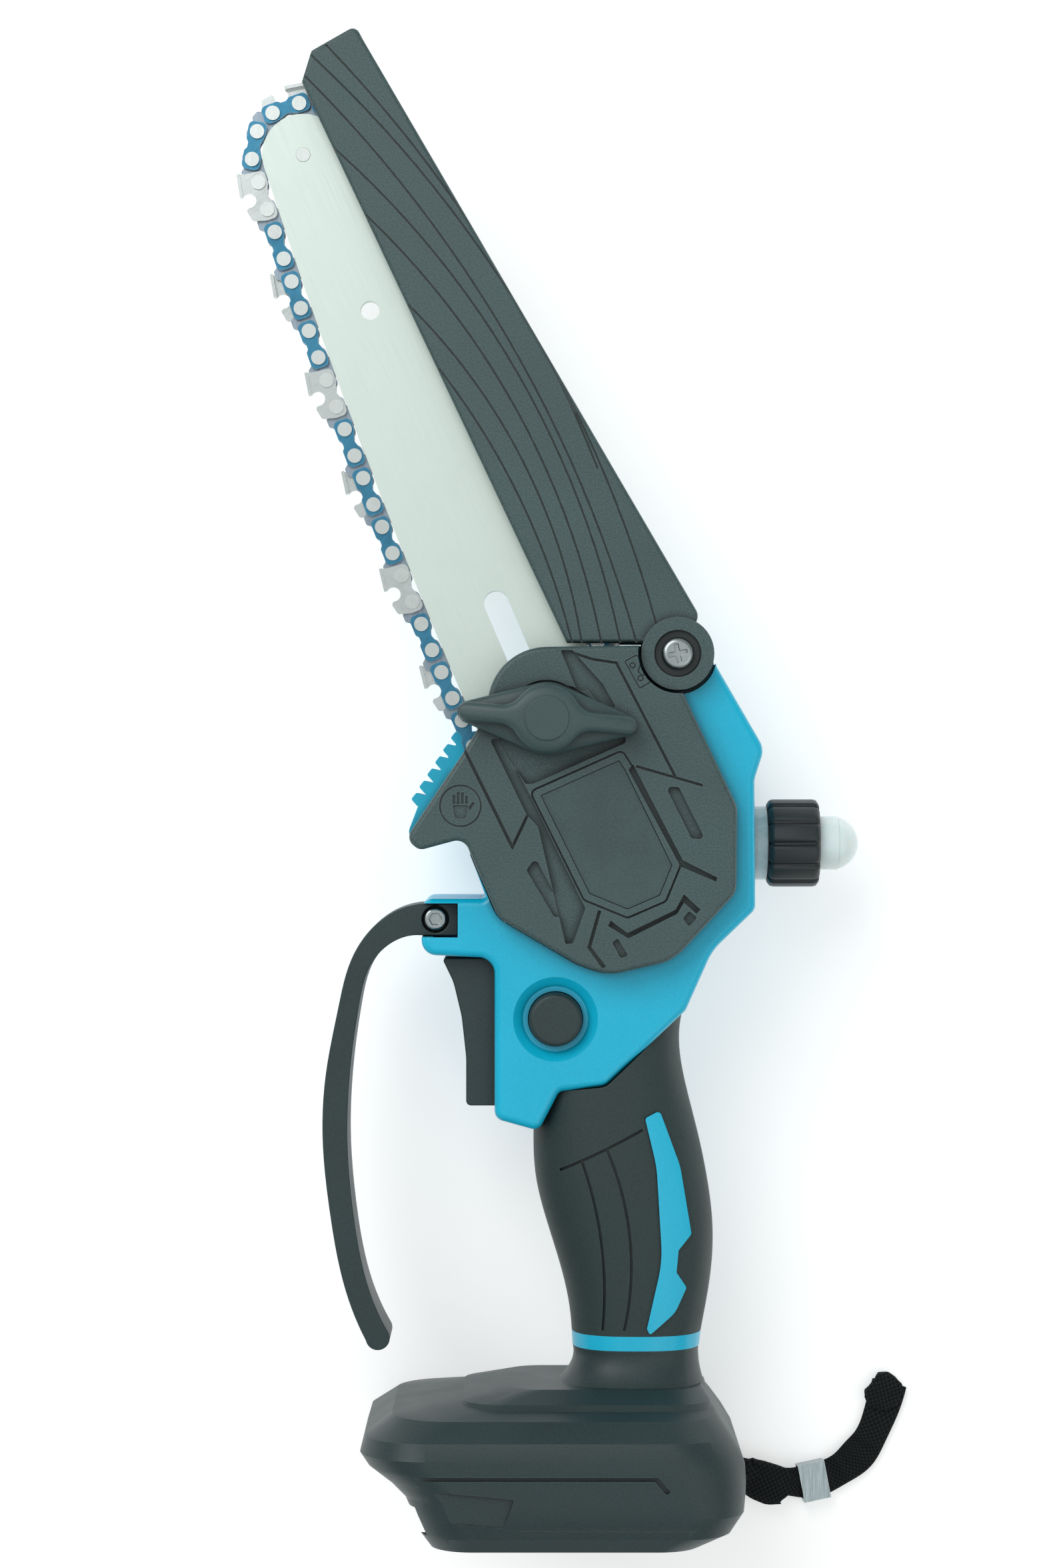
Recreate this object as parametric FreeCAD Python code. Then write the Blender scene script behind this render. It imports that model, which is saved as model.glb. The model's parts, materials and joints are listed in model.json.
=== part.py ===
import FreeCAD, Part
import math
import os

# One-handed cordless pruning chainsaw, lying on its far side. Millimetres, +Z up.
# The origin is where the sprocket's axis meets the surface that the saw lies on.
# +Y runs from the battery foot to the guide bar, +X points to the oil filler.

V = FreeCAD.Vector
UP = V(0, 0, 1)

# ---- levels above the resting face ----
FOOT_DEEP = 78.0            # width of the battery foot
MID = FOOT_DEEP / 2         # parting plane of the casing halves
CASE_BACK = MID - 23.0      # far face of the head
HEAD_FACE = MID + 6.5       # near face of the head, under the side cover
BODY_HALF = 17.0            # half thickness of the trigger block and grip
BAR_PLANE = MID + 13.0      # middle of guide bar and chain
COVER_TOP = MID + 26.0      # near face of the side cover
KNOB_TOP = MID + 38.5       # top of the wing knob
HOOD_LOW = MID + 7.2        # far face of the chain hood
HOOD_HIGH = MID + 21.0      # near face of the chain hood

# ---- walls and clearances ----
WALL = 2.6                  # casing wall
COVER_WALL = 2.4
HOOD_WALL = 2.0
CAP_WALL = 2.5
FIT = 0.05                  # radial running clearance
GAP = 0.4                   # between parts that pass each other
SEAM = 0.05                 # between parts that touch

# ---- guide bar and chain ----
BAR_LEAN = 23.3             # bar's lean from +Y towards -X, degrees
BAR_THICK = 3.0
DRIVE_LINKS = 36
PLAIN_BAR = 189.19             # bar length with 36 drive links
STRAP_PITCH = 6.85          # rivet spacing on straps and cutters
LINK_PITCH = 5.85           # rivet spacing on drive links
NOSE_RADIUS = 12.4          # rivets round the bar nose
BELLY = 18.9                # rivets' greatest distance from the bar's middle line
BOW = 1500.0                # radius of the bar's long edges
TAIL = 22.0                 # bar's end from the sprocket axis
TAIL_ROUND = 8.0
RAIL = 2.45                 # bar edge inside the rivet line
GROOVE_WIDE = 1.5
GROOVE_DEEP = 5.0
LINK_THICK = 1.3
STRAP_THICK = 1.15
STRAP_HALF = 2.35           # half width of a tie strap, on the cutting side
STRAP_FOOT = 2.15           # half width on the bar's side
RIVET_R = 1.3
RIVET_HEAD_R = 1.75
FIRST_CUTTER = 3.2          # first cutter's rivet, along the chain from the nose
SPROCKET_TEETH = 6
SPROCKET_THICK = 4.6
SPROCKET_LAG = 4.5          # slots behind the tangs, degrees
SLOT_WIDE = 6.0             # adjusting slot in the bar
SLOT_FROM = 34.7
SLOT_TO = 70.5
BAR_HOLE_R = 2.3
BAR_HOLE_AT = 148.0
NOSE_RIVET_R = 1.7

# ---- stud, knob, pad, tensioner ----
STUD_AT = 39.7              # along the bar's middle line
STUD_R = 2.5
PAD_LONG = 34.0
PAD_WIDE = 5.6
KNOB_SPAN = 43.5            # across the wings
KNOB_HUB_R = 8.6
KNOB_TURN = 5.5             # wing direction, degrees below the +X axis
SCREW_SIDE = 10.0           # tension screw's distance from the bar's middle line
SCREW_LEVEL = MID + 5.0
SCREW_R = 2.0

# ---- drive ----
MODULE = 0.8
GEAR_TEETH = 40
PINION_TEETH = 13
MOTOR_TURN = 80.0           # direction from output shaft to motor, degrees from +X
MOTOR_R = 18.3
MOTOR_FROM = 3.4
MOTOR_TO = MID - 12.5
PLATE_THICK = 3.0
GEAR_FROM = MID - 4.8
GEAR_THICK = 4.6
SHAFT_R = 4.0
BEARING_R = 8.0
BEARING_THICK = 4.0
CAP_R = 24.0                # round ends of the motor cap

# ---- oil filler ----
OIL_Y = 6.15
OIL_Z = MID - 9.0
NECK_R = 9.2
NECK_THREAD_R = 8.1
NECK_END = 43.3
COLLAR_FROM = 39.4
COLLAR_TO = 52.1
COLLAR_R = 10.95
BULB_R = 6.65
BULB_TIP = 62.1
BULB_TRAVEL = 4.0

# ---- hood pivot, guard, trigger, button ----
PIVOT = (15.9, 52.3)
EAR_R = 8.8
BUSH_R = 4.0
TRIGGER_HALF = 9.0          # half width of the trigger
TONGUE_HALF = 5.8
TRIGGER_TRAVEL = 6.0
BUTTON = (-13.5, -36.2)
BUTTON_R = 6.5
DISH_R = 10.3
BUTTON_TRAVEL = 3.0
GUARD_SCREW = (-42.8, -12.2)
GUARD_HALF = 9.5            # half width of the hand guard

# ---- handle ----
RUBBER = 2.2                # overmould thickness
GRIP_TOP = -33.0
GRIP_END = -113.4
RING_END = -117.0
SOCKET_END = -127.0         # casing's tongue inside the foot's neck

# ---- battery foot ----
BAY_FROM = -148.5           # ceiling of the battery bay
BAY_SIDE = 11.0             # casing left on each side of the bay
BAY_END = 19.0
RAIL_TO = -158.2            # upper side of the lips that hold the pack
RELIEF = 1.75              # depth of the cover's figures, times their drawn depth

# ---- strap ----
STRAP_WIDE = 8.5
STRAP_DEEP = 2.4
STRAP_POINTS = [
    V(30.4, -153.6, 6.0),
    V(41.4, -157.6, 4.4),
    V(53.2, -158.6, 2.7),
    V(63.6, -153.4, 1.7),
    V(69.8, -144.2, 1.6),
    V(72.8, -133.0, 1.6),
]
CLASP_AT = 2                # the bend that the clasp sits on
CLASP_LONG = 7.0
CLASP_WALL = 0.6

PARTS = {}
LEAN = math.radians(BAR_LEAN)
BLOCK_LOW = MID - BODY_HALF
BLOCK_HIGH = MID + BODY_HALF


# ---------------------------------------------------------------- helpers
def flat(point, z=0.0):
    """A point of the plan view, lifted to a level."""
    return V(point[0], point[1], z)


def rounded_wire(corners, z):
    """Closed outline. Each corner is (x, y) or (x, y, radius)."""
    count = len(corners)
    points = [flat(corner, z) for corner in corners]
    halves, reaches = [], []
    for i, corner in enumerate(corners):
        back, ahead = points[i - 1] - points[i], points[(i + 1) % count] - points[i]
        half = back.getAngle(ahead) / 2
        radius = corner[2] if len(corner) > 2 and half < math.pi / 2 - 0.002 else 0.0
        halves.append(half)
        reaches.append(radius / math.tan(half))
    for i in range(count):
        length = (points[i] - points[i - 1]).Length
        wanted = reaches[i] + reaches[i - 1]
        if wanted > 0.98 * length:
            reaches[i] *= 0.98 * length / wanted
            reaches[i - 1] *= 0.98 * length / wanted
    starts, ends, edges = [], [], []
    for i, point in enumerate(points):
        back = (points[i - 1] - point).normalize()
        ahead = (points[(i + 1) % count] - point).normalize()
        starts.append(point + back * reaches[i])
        ends.append(point + ahead * reaches[i])
    for i, point in enumerate(points):
        if reaches[i] > 1e-4:
            radius = reaches[i] * math.tan(halves[i])
            inward = (starts[i] + ends[i] - point * 2).normalize()
            middle = point + inward * (radius / math.sin(halves[i]) - radius)
            edges.append(Part.Arc(starts[i], middle, ends[i]).toShape())
        following = starts[(i + 1) % count]
        if (following - ends[i]).Length > 1e-6:
            edges.append(Part.LineSegment(ends[i], following).toShape())
    return Part.Wire(edges)


def prism(corners, low, high, grow=0.0):
    """Solid of an outline between two levels, grown outwards or shrunk."""
    face = Part.Face(rounded_wire(corners, low))
    if grow:
        face = face.makeOffset2D(grow)
    return face.extrude(V(0, 0, high - low))


def disc(centre, radius, low, high):
    """Upright cylinder."""
    return Part.makeCylinder(radius, high - low, flat(centre, low))


def ring(centre, outer, inner, low, high):
    """Upright tube."""
    return disc(centre, outer, low, high).cut(disc(centre, inner, low - 1, high + 1))


def box(x0, x1, y0, y1, z0, z1):
    """Box between two corners."""
    return Part.makeBox(x1 - x0, y1 - y0, z1 - z0, V(x0, y0, z0))


def rod(start, end, radius):
    """Cylinder between two points."""
    return Part.makeCylinder(radius, (end - start).Length, start, end - start)


def join(first, *others):
    """Union as one clean shape."""
    return first.fuse(list(others)).removeSplitter()


def on_bar(along, across):
    """Plan position given along and across the guide bar."""
    return (
        -math.sin(LEAN) * along + math.cos(LEAN) * across,
        math.cos(LEAN) * along + math.sin(LEAN) * across,
    )


def bar_slab(from_s, to_s, from_v, to_v, low, high, radius=0.0):
    """Box turned to the guide bar, with rounded upright edges."""
    corners = [(from_s, from_v), (to_s, from_v), (to_s, to_v), (from_s, to_v)]
    return prism([on_bar(s, v) + (radius,) for s, v in corners], low, high)


def groove(first, middle, last, width, low, high):
    """Band of even width along an arc through three plan points."""
    a, b, c = flat(first, low), flat(middle, low), flat(last, low)
    arc = Part.Arc(a, b, c)
    circle = arc.toShape().Curve
    centre = circle.Center

    def moved(point, by):
        away = (point - centre).normalize()
        return point + away * by

    outer = Part.Arc(moved(a, width / 2), moved(b, width / 2), moved(c, width / 2))
    inner = Part.Arc(moved(c, -width / 2), moved(b, -width / 2), moved(a, -width / 2))
    wire = Part.Wire([
        outer.toShape(),
        Part.LineSegment(moved(c, width / 2), moved(c, -width / 2)).toShape(),
        inner.toShape(),
        Part.LineSegment(moved(a, -width / 2), moved(a, width / 2)).toShape(),
    ])
    return Part.Face(wire).extrude(V(0, 0, high - low))


def edges_at(shape, level):
    """Edges that lie wholly at one level."""
    found = []
    for edge in shape.Edges:
        bound = edge.BoundBox
        if abs(bound.ZMin - level) < 1e-4 and abs(bound.ZMax - level) < 1e-4:
            found.append(edge)
    return found


def coil(start, end, radius, wire, turns):
    """Compression spring between two points."""
    length = (end - start).Length - wire
    helix = Part.makeHelix(length / turns, length, radius)
    profile = Part.Wire(
        Part.makeCircle(wire / 2, V(radius, 0, 0), V(0, 1, 0))
    )
    solid = helix.makePipeShell([profile], True, True)
    axis = (end - start).normalize()
    solid.Placement = FreeCAD.Placement(
        start + axis * (wire / 2), FreeCAD.Rotation(UP, axis)
    )
    return solid


def keep(name, *shapes):
    """Files solids under a node's name."""
    solids = []
    for shape in shapes:
        solids.extend(shape.Solids)
    PARTS[name] = solids[0] if len(solids) == 1 else Part.makeCompound(solids)


# ---------------------------------------------------------------- chain loop
def arc_piece(centre, radius, start_angle, end_angle):
    """Stretch of the chain loop on a circle, as (length, point at a distance)."""
    length = radius * abs(end_angle - start_angle)

    def place(distance):
        angle = start_angle + (end_angle - start_angle) * distance / length
        return V(
            centre[0] + radius * math.cos(angle), centre[1] + radius * math.sin(angle), 0
        )

    return length, place


def line_piece(start, end):
    """Straight stretch of the chain loop."""
    length = (end - start).Length
    return length, lambda distance: start + (end - start) * (distance / length)


def loop_pieces(bar_length, inset=0.0):
    """The rivet line, or a line inside it: near edge down, sprocket, far edge up, nose."""
    nose_r = NOSE_RADIUS - inset
    bow_r = BOW - inset
    centre_v = BELLY - BOW
    widest = bar_length - math.sqrt((BOW - NOSE_RADIUS) ** 2 - centre_v ** 2)
    nose_angle = math.atan2(-centre_v, bar_length - widest)
    tail_angle = math.acos((TAIL - widest) / bow_r)
    belly_v = centre_v + math.sqrt(bow_r ** 2 - (TAIL - widest) ** 2)
    wheel_r = chain_wheel_radius()
    reach = math.hypot(TAIL, belly_v)
    touch = math.atan2(belly_v, TAIL) + math.acos(wheel_r / reach)
    leave = V(wheel_r * math.cos(touch), wheel_r * math.sin(touch), 0)
    tail = V(TAIL, belly_v, 0)
    mirrored_tail = V(TAIL, -belly_v, 0)
    mirrored_leave = V(leave.x, -leave.y, 0)
    return [
        arc_piece((widest, -centre_v), bow_r, -nose_angle, -tail_angle),
        line_piece(mirrored_tail, mirrored_leave),
        arc_piece((0, 0), wheel_r, 2 * math.pi - touch, touch),
        line_piece(leave, tail),
        arc_piece((widest, centre_v), bow_r, tail_angle, nose_angle),
        arc_piece((bar_length, 0), nose_r, nose_angle, -nose_angle),
    ]


def chain_wheel_radius():
    """Radius of the rivets round the sprocket."""
    radius = 12.0
    turn = 2 * math.pi / (2 * SPROCKET_TEETH)
    for _ in range(60):
        half_a = math.asin(STRAP_PITCH / 2 / radius)
        half_b = math.asin(LINK_PITCH / 2 / radius)
        radius *= (half_a + half_b) / turn
    return radius


def along_loop(pieces, distance):
    """Point at a distance round the closed loop."""
    distance %= sum(length for length, _ in pieces)
    for length, place in pieces:
        if distance <= length:
            return place(distance)
        distance -= length
    return pieces[-1][1](pieces[-1][0])


def chain_rivet_places(bar_length):
    """Every rivet on the loop, and how far the last falls short of the first."""
    pieces = loop_pieces(bar_length)
    total = sum(length for length, _ in pieces)
    distance = FIRST_CUTTER
    places = []
    for count in range(2 * DRIVE_LINKS):
        here = along_loop(pieces, distance)
        places.append(here)
        chord = STRAP_PITCH if count % 2 == 0 else LINK_PITCH
        low, high = distance, distance + chord * 1.3
        for _ in range(40):
            middle = (low + high) / 2
            if (along_loop(pieces, middle) - here).Length < chord:
                low = middle
            else:
                high = middle
        distance = low
    return places, FIRST_CUTTER + total - distance


def fitted_bar_length():
    """Sprocket to nose centre, so that the drive links just close the loop."""
    low, high = DRIVE_LINKS * 4.6, DRIVE_LINKS * 5.8
    for _ in range(40):
        middle = (low + high) / 2
        if chain_rivet_places(middle)[1] < 0:
            low = middle
        else:
            high = middle
    return (low + high) / 2


BAR_LENGTH = fitted_bar_length()


# ---------------------------------------------------------------- bar and chain
def bar_outline_prism(inset, low, high):
    """Guide bar's outline at an inset from the rivet line."""
    pieces = loop_pieces(BAR_LENGTH, inset)
    left, right, nose = pieces[0], pieces[4], pieces[5]

    def world(point):
        return flat(on_bar(point.x, point.y), low)

    def arc_edge(piece):
        length, place = piece
        return Part.Arc(
            world(place(0)), world(place(length / 2)), world(place(length))
        ).toShape()

    left_end, right_start = left[1](left[0]), right[1](0)
    wire = Part.Wire([
        arc_edge(nose),
        arc_edge(left),
        Part.LineSegment(world(left_end), world(right_start)).toShape(),
        arc_edge(right),
    ])
    solid = Part.Face(wire).extrude(V(0, 0, high - low))
    tails = []
    for edge in solid.Edges:
        upright = abs(edge.BoundBox.ZLength - (high - low)) < 1e-4
        foot = edge.BoundBox.Center
        for corner in (left_end, right_start):
            place = world(corner)
            if upright and math.hypot(foot.x - place.x, foot.y - place.y) < 0.1:
                tails.append(edge)
    return solid.makeFillet(TAIL_ROUND, tails)


def guide_bar():
    """Steel bar with a groove all round, an adjusting slot and two holes."""
    low, high = BAR_PLANE - BAR_THICK / 2, BAR_PLANE + BAR_THICK / 2
    bar = bar_outline_prism(RAIL, low, high)
    groove_low = BAR_PLANE - GROOVE_WIDE / 2
    groove_high = BAR_PLANE + GROOVE_WIDE / 2
    core = bar_outline_prism(RAIL + GROOVE_DEEP, groove_low, groove_high)
    bar = bar.cut(bar_outline_prism(RAIL - 1, groove_low, groove_high).cut(core))
    slot = bar_slab(
        SLOT_FROM - SLOT_WIDE / 2, SLOT_TO + SLOT_WIDE / 2,
        -SLOT_WIDE / 2, SLOT_WIDE / 2, low - 1, high + 1, SLOT_WIDE / 2 - 0.01,
    )
    bar = bar.cut(slot)
    bar = bar.cut(disc(on_bar(BAR_HOLE_AT, 0), BAR_HOLE_R, low - 1, high + 1))
    bar = bar.cut(disc(on_bar(BAR_LENGTH, 0), NOSE_RIVET_R + FIT, low - 1, high + 1))
    bar = bar.cut(disc(on_bar(*tension_place()), SCREW_R + FIT, low - 1, high + 1))
    keep("guide_bar", bar)
    rivet = disc(on_bar(BAR_LENGTH, 0), NOSE_RIVET_R, low, high + 0.15)
    keep("nose_rivet", rivet)


def tension_place():
    """Where the tension block's pin enters the bar, along and across it."""
    return TAIL + 6.0, SCREW_SIDE


def link_placement(start, end):
    """Puts a link's own x axis from one rivet to the next, and +y to the inside."""
    a, b = flat(on_bar(start.x, start.y)), flat(on_bar(end.x, end.y))
    angle = math.degrees(math.atan2(b.y - a.y, b.x - a.x))
    return FreeCAD.Placement(a, FreeCAD.Rotation(UP, angle))


def drive_link():
    """Middle link with a tang below and a small bumper above."""
    low, high = BAR_PLANE - LINK_THICK / 2, BAR_PLANE + LINK_THICK / 2
    body = prism([
        (-2.5, -2.3, 1.6), (1.2, -2.3, 0.8), (2.0, -3.4, 0.7), (3.9, -3.4, 0.7),
        (4.7, -2.3, 0.8), (LINK_PITCH + 2.5, -2.3, 1.6), (LINK_PITCH + 2.5, 2.3, 1.6),
        (LINK_PITCH - 0.4, 2.3, 0.4), (LINK_PITCH - 1.9, 6.3, 0.9), (1.9, 6.3, 0.9),
        (0.4, 2.3, 0.4), (-2.5, 2.3, 1.6),
    ], low, high)
    for x in (0, LINK_PITCH):
        body = body.cut(disc((x, 0), RIVET_R + FIT, low - 1, high + 1))
    return body


def tie_strap(low):
    """Side link with a narrower waist."""
    end = STRAP_PITCH
    high = low + STRAP_THICK
    body = prism([
        (-2.5, -STRAP_HALF, 1.4), (2.0, -STRAP_HALF, 0.8), (2.7, -1.75, 0.6),
        (end - 2.7, -1.75, 0.6), (end - 2.0, -STRAP_HALF, 0.8), (end + 2.5, -STRAP_HALF, 1.4),
        (end + 2.5, STRAP_FOOT, 1.4), (end - 0.7, STRAP_FOOT, 0.4),
        (end / 2, STRAP_FOOT - 1.0, 1.2), (0.7, STRAP_FOOT, 0.4), (-2.5, STRAP_FOOT, 1.4),
    ], low, high)
    for x in (0, end):
        body = body.cut(disc((x, 0), RIVET_R + FIT, low - 1, high + 1))
    return body


def cutter(low, side):
    """Cutting link: side plate, gullet, depth gauge and a top plate over the chain."""
    end = STRAP_PITCH
    high = low + STRAP_THICK
    body = prism([
        (0.7, STRAP_FOOT, 0.4), (-2.5, STRAP_FOOT, 1.4), (-2.9, -2.2, 0.5), (-3.5, -4.4, 0.4),
        (2.1, -5.3, 0.3), (2.3, -2.9, 0.3), (end - 2.0, -2.5, 0.3), (end - 1.5, -4.9, 0.7),
        (end + 1.6, -4.3, 0.9), (end + 2.5, -1.0, 0.9), (end + 2.5, STRAP_FOOT, 1.4),
        (end - 0.7, STRAP_FOOT, 0.4), (end / 2, STRAP_FOOT - 1.0, 1.2),
    ], low, high)
    body = body.cut(disc((3.5, -3.5), 1.7, low - 1, high + 1))
    top = prism([
        (-3.5, -4.5, 0.1), (2.1, -5.4, 0.1), (2.1, -4.6, 0.1), (-3.5, -3.7, 0.1),
    ], 0, 3.6)
    outer = high + 0.5 if side > 0 else low - 0.5
    top.translate(V(0, 0, outer - 3.6 if side > 0 else outer))
    body = join(body, top)
    for x in (0, end):
        body = body.cut(disc((x, 0), RIVET_R + FIT, low - 1, high + 1))
    return body


def chain():
    """Closed loop of drive links, tie straps, left and right cutters, and rivets."""
    places = chain_rivet_places(BAR_LENGTH)[0]
    near_low = BAR_PLANE + LINK_THICK / 2 + SEAM
    far_low = BAR_PLANE - LINK_THICK / 2 - SEAM - STRAP_THICK
    link = drive_link()
    near_strap, far_strap = tie_strap(near_low), tie_strap(far_low)
    near_cutter, far_cutter = cutter(near_low, 1), cutter(far_low, -1)
    head = near_low + STRAP_THICK
    rivet = join(
        disc((0, 0), RIVET_R, far_low - 0.05, head + 0.05),
        disc((0, 0), RIVET_HEAD_R, head + 0.05, head + 0.6),
        disc((0, 0), RIVET_HEAD_R, far_low - 0.6, far_low - 0.05),
    )
    links, straps, cutters, rivets = [], [], [], []
    for count, here in enumerate(places):
        following = places[(count + 1) % len(places)]
        placement = link_placement(here, following)

        def placed(shape):
            copy = shape.copy()
            copy.Placement = placement
            return copy

        rivets.append(placed(rivet))
        if count % 2:
            links.append(placed(link))
            continue
        turn = (count // 2) % 4
        if turn == 0:
            cutters.append(placed(near_cutter))
            straps.append(placed(far_strap))
        elif turn == 2:
            cutters.append(placed(far_cutter))
            straps.append(placed(near_strap))
        else:
            straps.append(placed(near_strap))
            straps.append(placed(far_strap))
    keep("chain_drive_links", *links)
    keep("chain_tie_straps", *straps)
    keep("chain_cutters", *cutters)
    keep("chain_rivets", *rivets)


def drive_sprocket():
    """Six-tooth wheel whose slots take the chain's tangs."""
    low = BAR_PLANE - SPROCKET_THICK / 2
    high = BAR_PLANE + SPROCKET_THICK / 2
    wheel_r = chain_wheel_radius()
    rim = wheel_r * math.cos(math.asin(STRAP_PITCH / 2 / wheel_r)) - STRAP_HALF - 0.2
    wheel = disc((0, 0), rim, low, high)
    wheel = join(wheel, disc((0, 0), SHAFT_R + 2.6, HEAD_FACE + 0.6, low + 0.1))
    places = chain_rivet_places(BAR_LENGTH)[0]
    links = [i for i in range(1, len(places), 2) if places[i].x < 0]
    middle = links[len(links) // 2]
    centre = (places[middle] + places[(middle + 1) % len(places)]) * 0.5
    around = math.degrees(math.atan2(centre.y, centre.x)) + BAR_LEAN + 90 - SPROCKET_LAG
    for tooth in range(SPROCKET_TEETH):
        slot = prism([
            (rim + 2, -4.9), (rim + 2, 4.9), (rim - 0.6, 3.6, 0.3),
            (wheel_r - 6.9, 2.1, 0.6), (wheel_r - 6.9, -2.1, 0.6), (rim - 0.6, -3.6, 0.3),
        ], low - 0.01, high + 1)
        slot.rotate(V(0, 0, 0), UP, around + 360 * tooth / SPROCKET_TEETH)
        wheel = wheel.cut(slot)
    keep("drive_sprocket", wheel.cut(disc((0, 0), SHAFT_R + SEAM / 5, 0, 90)))
    clip = ring((0, 0), SHAFT_R + 1.6, SHAFT_R - 0.45, high + 0.2, high + 1.0)
    clip = clip.cut(box(2.0, 8.0, -1.6, 1.6, high, high + 2))
    keep("sprocket_clip", clip)


# ---------------------------------------------------------------- gears, motor
def gear_outline(teeth, tip, turn):
    """Involute spur gear outline, with its first tooth centred on an angle."""
    pitch_r = MODULE * teeth / 2
    base_r = pitch_r * math.cos(math.radians(20))
    tip_r = pitch_r + tip * MODULE
    root_r = pitch_r - 1.2 * MODULE
    backlash = 0.07

    def involute(radius):
        angle = math.acos(min(1.0, base_r / radius))
        return math.tan(angle) - angle

    half = math.pi / 2 / teeth - backlash / pitch_r + involute(pitch_r)
    start_r = max(base_r, root_r)
    radii = [start_r + (tip_r - start_r) * step / 4 for step in range(5)]
    corners = []
    for tooth in range(teeth):
        middle = turn + 2 * math.pi * tooth / teeth
        flank = [(root_r, half - involute(start_r))]
        flank += [(radius, half - involute(radius)) for radius in radii]
        for radius, offset in flank:
            corners.append((radius, middle - offset))
        for radius, offset in reversed(flank):
            corners.append((radius, middle + offset))
    points = []
    for radius, angle in corners:
        point = (radius * math.cos(angle), radius * math.sin(angle))
        if not points or math.dist(points[-1], point) > 1e-4:
            points.append(point)
    return points


def motor_place():
    """Motor axis in plan."""
    distance = MODULE * (GEAR_TEETH + PINION_TEETH) / 2
    turn = math.radians(MOTOR_TURN)
    return (distance * math.cos(turn), distance * math.sin(turn))


def moved_prism(points, centre, low, high):
    """Prism of an outline about another centre."""
    solid = prism(points, low, high)
    solid.translate(flat(centre))
    return solid


def reduction():
    """Pinion and gear, output shaft and its two bearings."""
    turn = math.radians(MOTOR_TURN)
    gear_top = GEAR_FROM + GEAR_THICK
    gear = prism(gear_outline(GEAR_TEETH, 0.85, turn), GEAR_FROM, gear_top)
    gear = gear.cut(disc((0, 0), SHAFT_R + SEAM / 5, GEAR_FROM - 1, gear_top + 1))
    for spoke in range(6):
        angle = math.radians(60 * spoke + 30)
        hole = (10.2 * math.cos(angle), 10.2 * math.sin(angle))
        gear = gear.cut(disc(hole, 2.6, GEAR_FROM - 1, gear_top + 1))
    keep("drive_gear", gear)
    gap = turn + math.pi + math.pi / PINION_TEETH
    pinion = moved_prism(
        gear_outline(PINION_TEETH, 0.85, gap), motor_place(),
        GEAR_FROM - 0.6, gear_top + 0.4,
    )
    keep("motor_pinion", pinion.cut(disc(motor_place(), 2.0, 0, 90)))
    shaft_top = BAR_PLANE + SPROCKET_THICK / 2 + 1.4
    far_seat = MOTOR_TO + PLATE_THICK
    shaft = disc((0, 0), SHAFT_R, far_seat + 0.2, shaft_top)
    clip_low = BAR_PLANE + SPROCKET_THICK / 2 + 0.15
    shaft = shaft.cut(ring((0, 0), SHAFT_R + 1, SHAFT_R - 0.5, clip_low, clip_low + 0.9))
    keep("output_shaft", shaft)
    far = ring((0, 0), BEARING_R, SHAFT_R + FIT, far_seat + 0.2, far_seat + 0.2 + BEARING_THICK)
    near = ring((0, 0), BEARING_R, SHAFT_R + FIT, HEAD_FACE - BEARING_THICK, HEAD_FACE)
    keep("shaft_bearings", far, near)


def motor():
    """Flat brushless motor: can, end bell, rotor with shaft, plate and screws."""
    centre = motor_place()
    can = ring(centre, MOTOR_R, MOTOR_R - 1.4, MOTOR_FROM + 3, MOTOR_TO)
    can = join(can, ring(centre, MOTOR_R - 1.2, 4.0, MOTOR_TO - 1.6, MOTOR_TO))
    for side in range(6):
        angle = math.radians(60 * side)
        slot = (MOTOR_R * math.cos(angle) + centre[0], MOTOR_R * math.sin(angle) + centre[1])
        can = can.cut(disc(slot, 3.0, MOTOR_FROM + 7, MOTOR_TO - 5))
    keep("motor_can", can)
    bell = join(
        disc(centre, MOTOR_R, MOTOR_FROM, MOTOR_FROM + 3 - SEAM),
        ring(centre, MOTOR_R - 1.4 - SEAM, MOTOR_R - 3, MOTOR_FROM + 1, MOTOR_FROM + 5),
    )
    for side in range(8):
        angle = math.radians(45 * side)
        hole = (11.5 * math.cos(angle) + centre[0], 11.5 * math.sin(angle) + centre[1])
        bell = bell.cut(disc(hole, 2.6, 0, MOTOR_FROM + 3))
    bell = bell.cut(disc(centre, 2.0 + FIT, MOTOR_FROM + 1, 20))
    keep("motor_end_bell", bell)
    rotor = join(
        disc(centre, 13.5, MOTOR_FROM + 6, MOTOR_TO - 3),
        disc(centre, 2.0, MOTOR_FROM + 1.2, GEAR_FROM + GEAR_THICK + 0.4),
    )
    for pole in range(12):
        angle = math.radians(30 * pole)
        hole = (13.5 * math.cos(angle) + centre[0], 13.5 * math.sin(angle) + centre[1])
        rotor = rotor.cut(disc(hole, 1.2, 0, MOTOR_TO))
    keep("motor_rotor", rotor)
    plate_low, plate_high = MOTOR_TO, MOTOR_TO + PLATE_THICK
    plate = join(
        disc(centre, MOTOR_R, plate_low, plate_high),
        ring((0, 0), BEARING_R + 2, BEARING_R + 0.02, plate_low, plate_high + BEARING_THICK),
        disc((0, 0), BEARING_R + 2, plate_low, plate_high),
    )
    plate = plate.cut(disc(centre, 5.0, 0, 90))
    screws = []
    for side in (-1, 1):
        turn = math.radians(MOTOR_TURN + 90 * side)
        place = (12.0 * math.cos(turn) + centre[0], 12.0 * math.sin(turn) + centre[1])
        plate = plate.cut(disc(place, 1.6, 0, 90))
        can_hole = disc(place, 1.6, MOTOR_TO - 2, MOTOR_TO + 1)
        PARTS["motor_can"] = PARTS["motor_can"].cut(can_hole)
        screws.append(join(
            disc(place, 1.5, MOTOR_TO - 2.2, plate_high),
            disc(place, 2.7, plate_high, plate_high + 1.6),
        ))
    keep("gear_plate", plate)
    keep("motor_screws", *screws)


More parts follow.
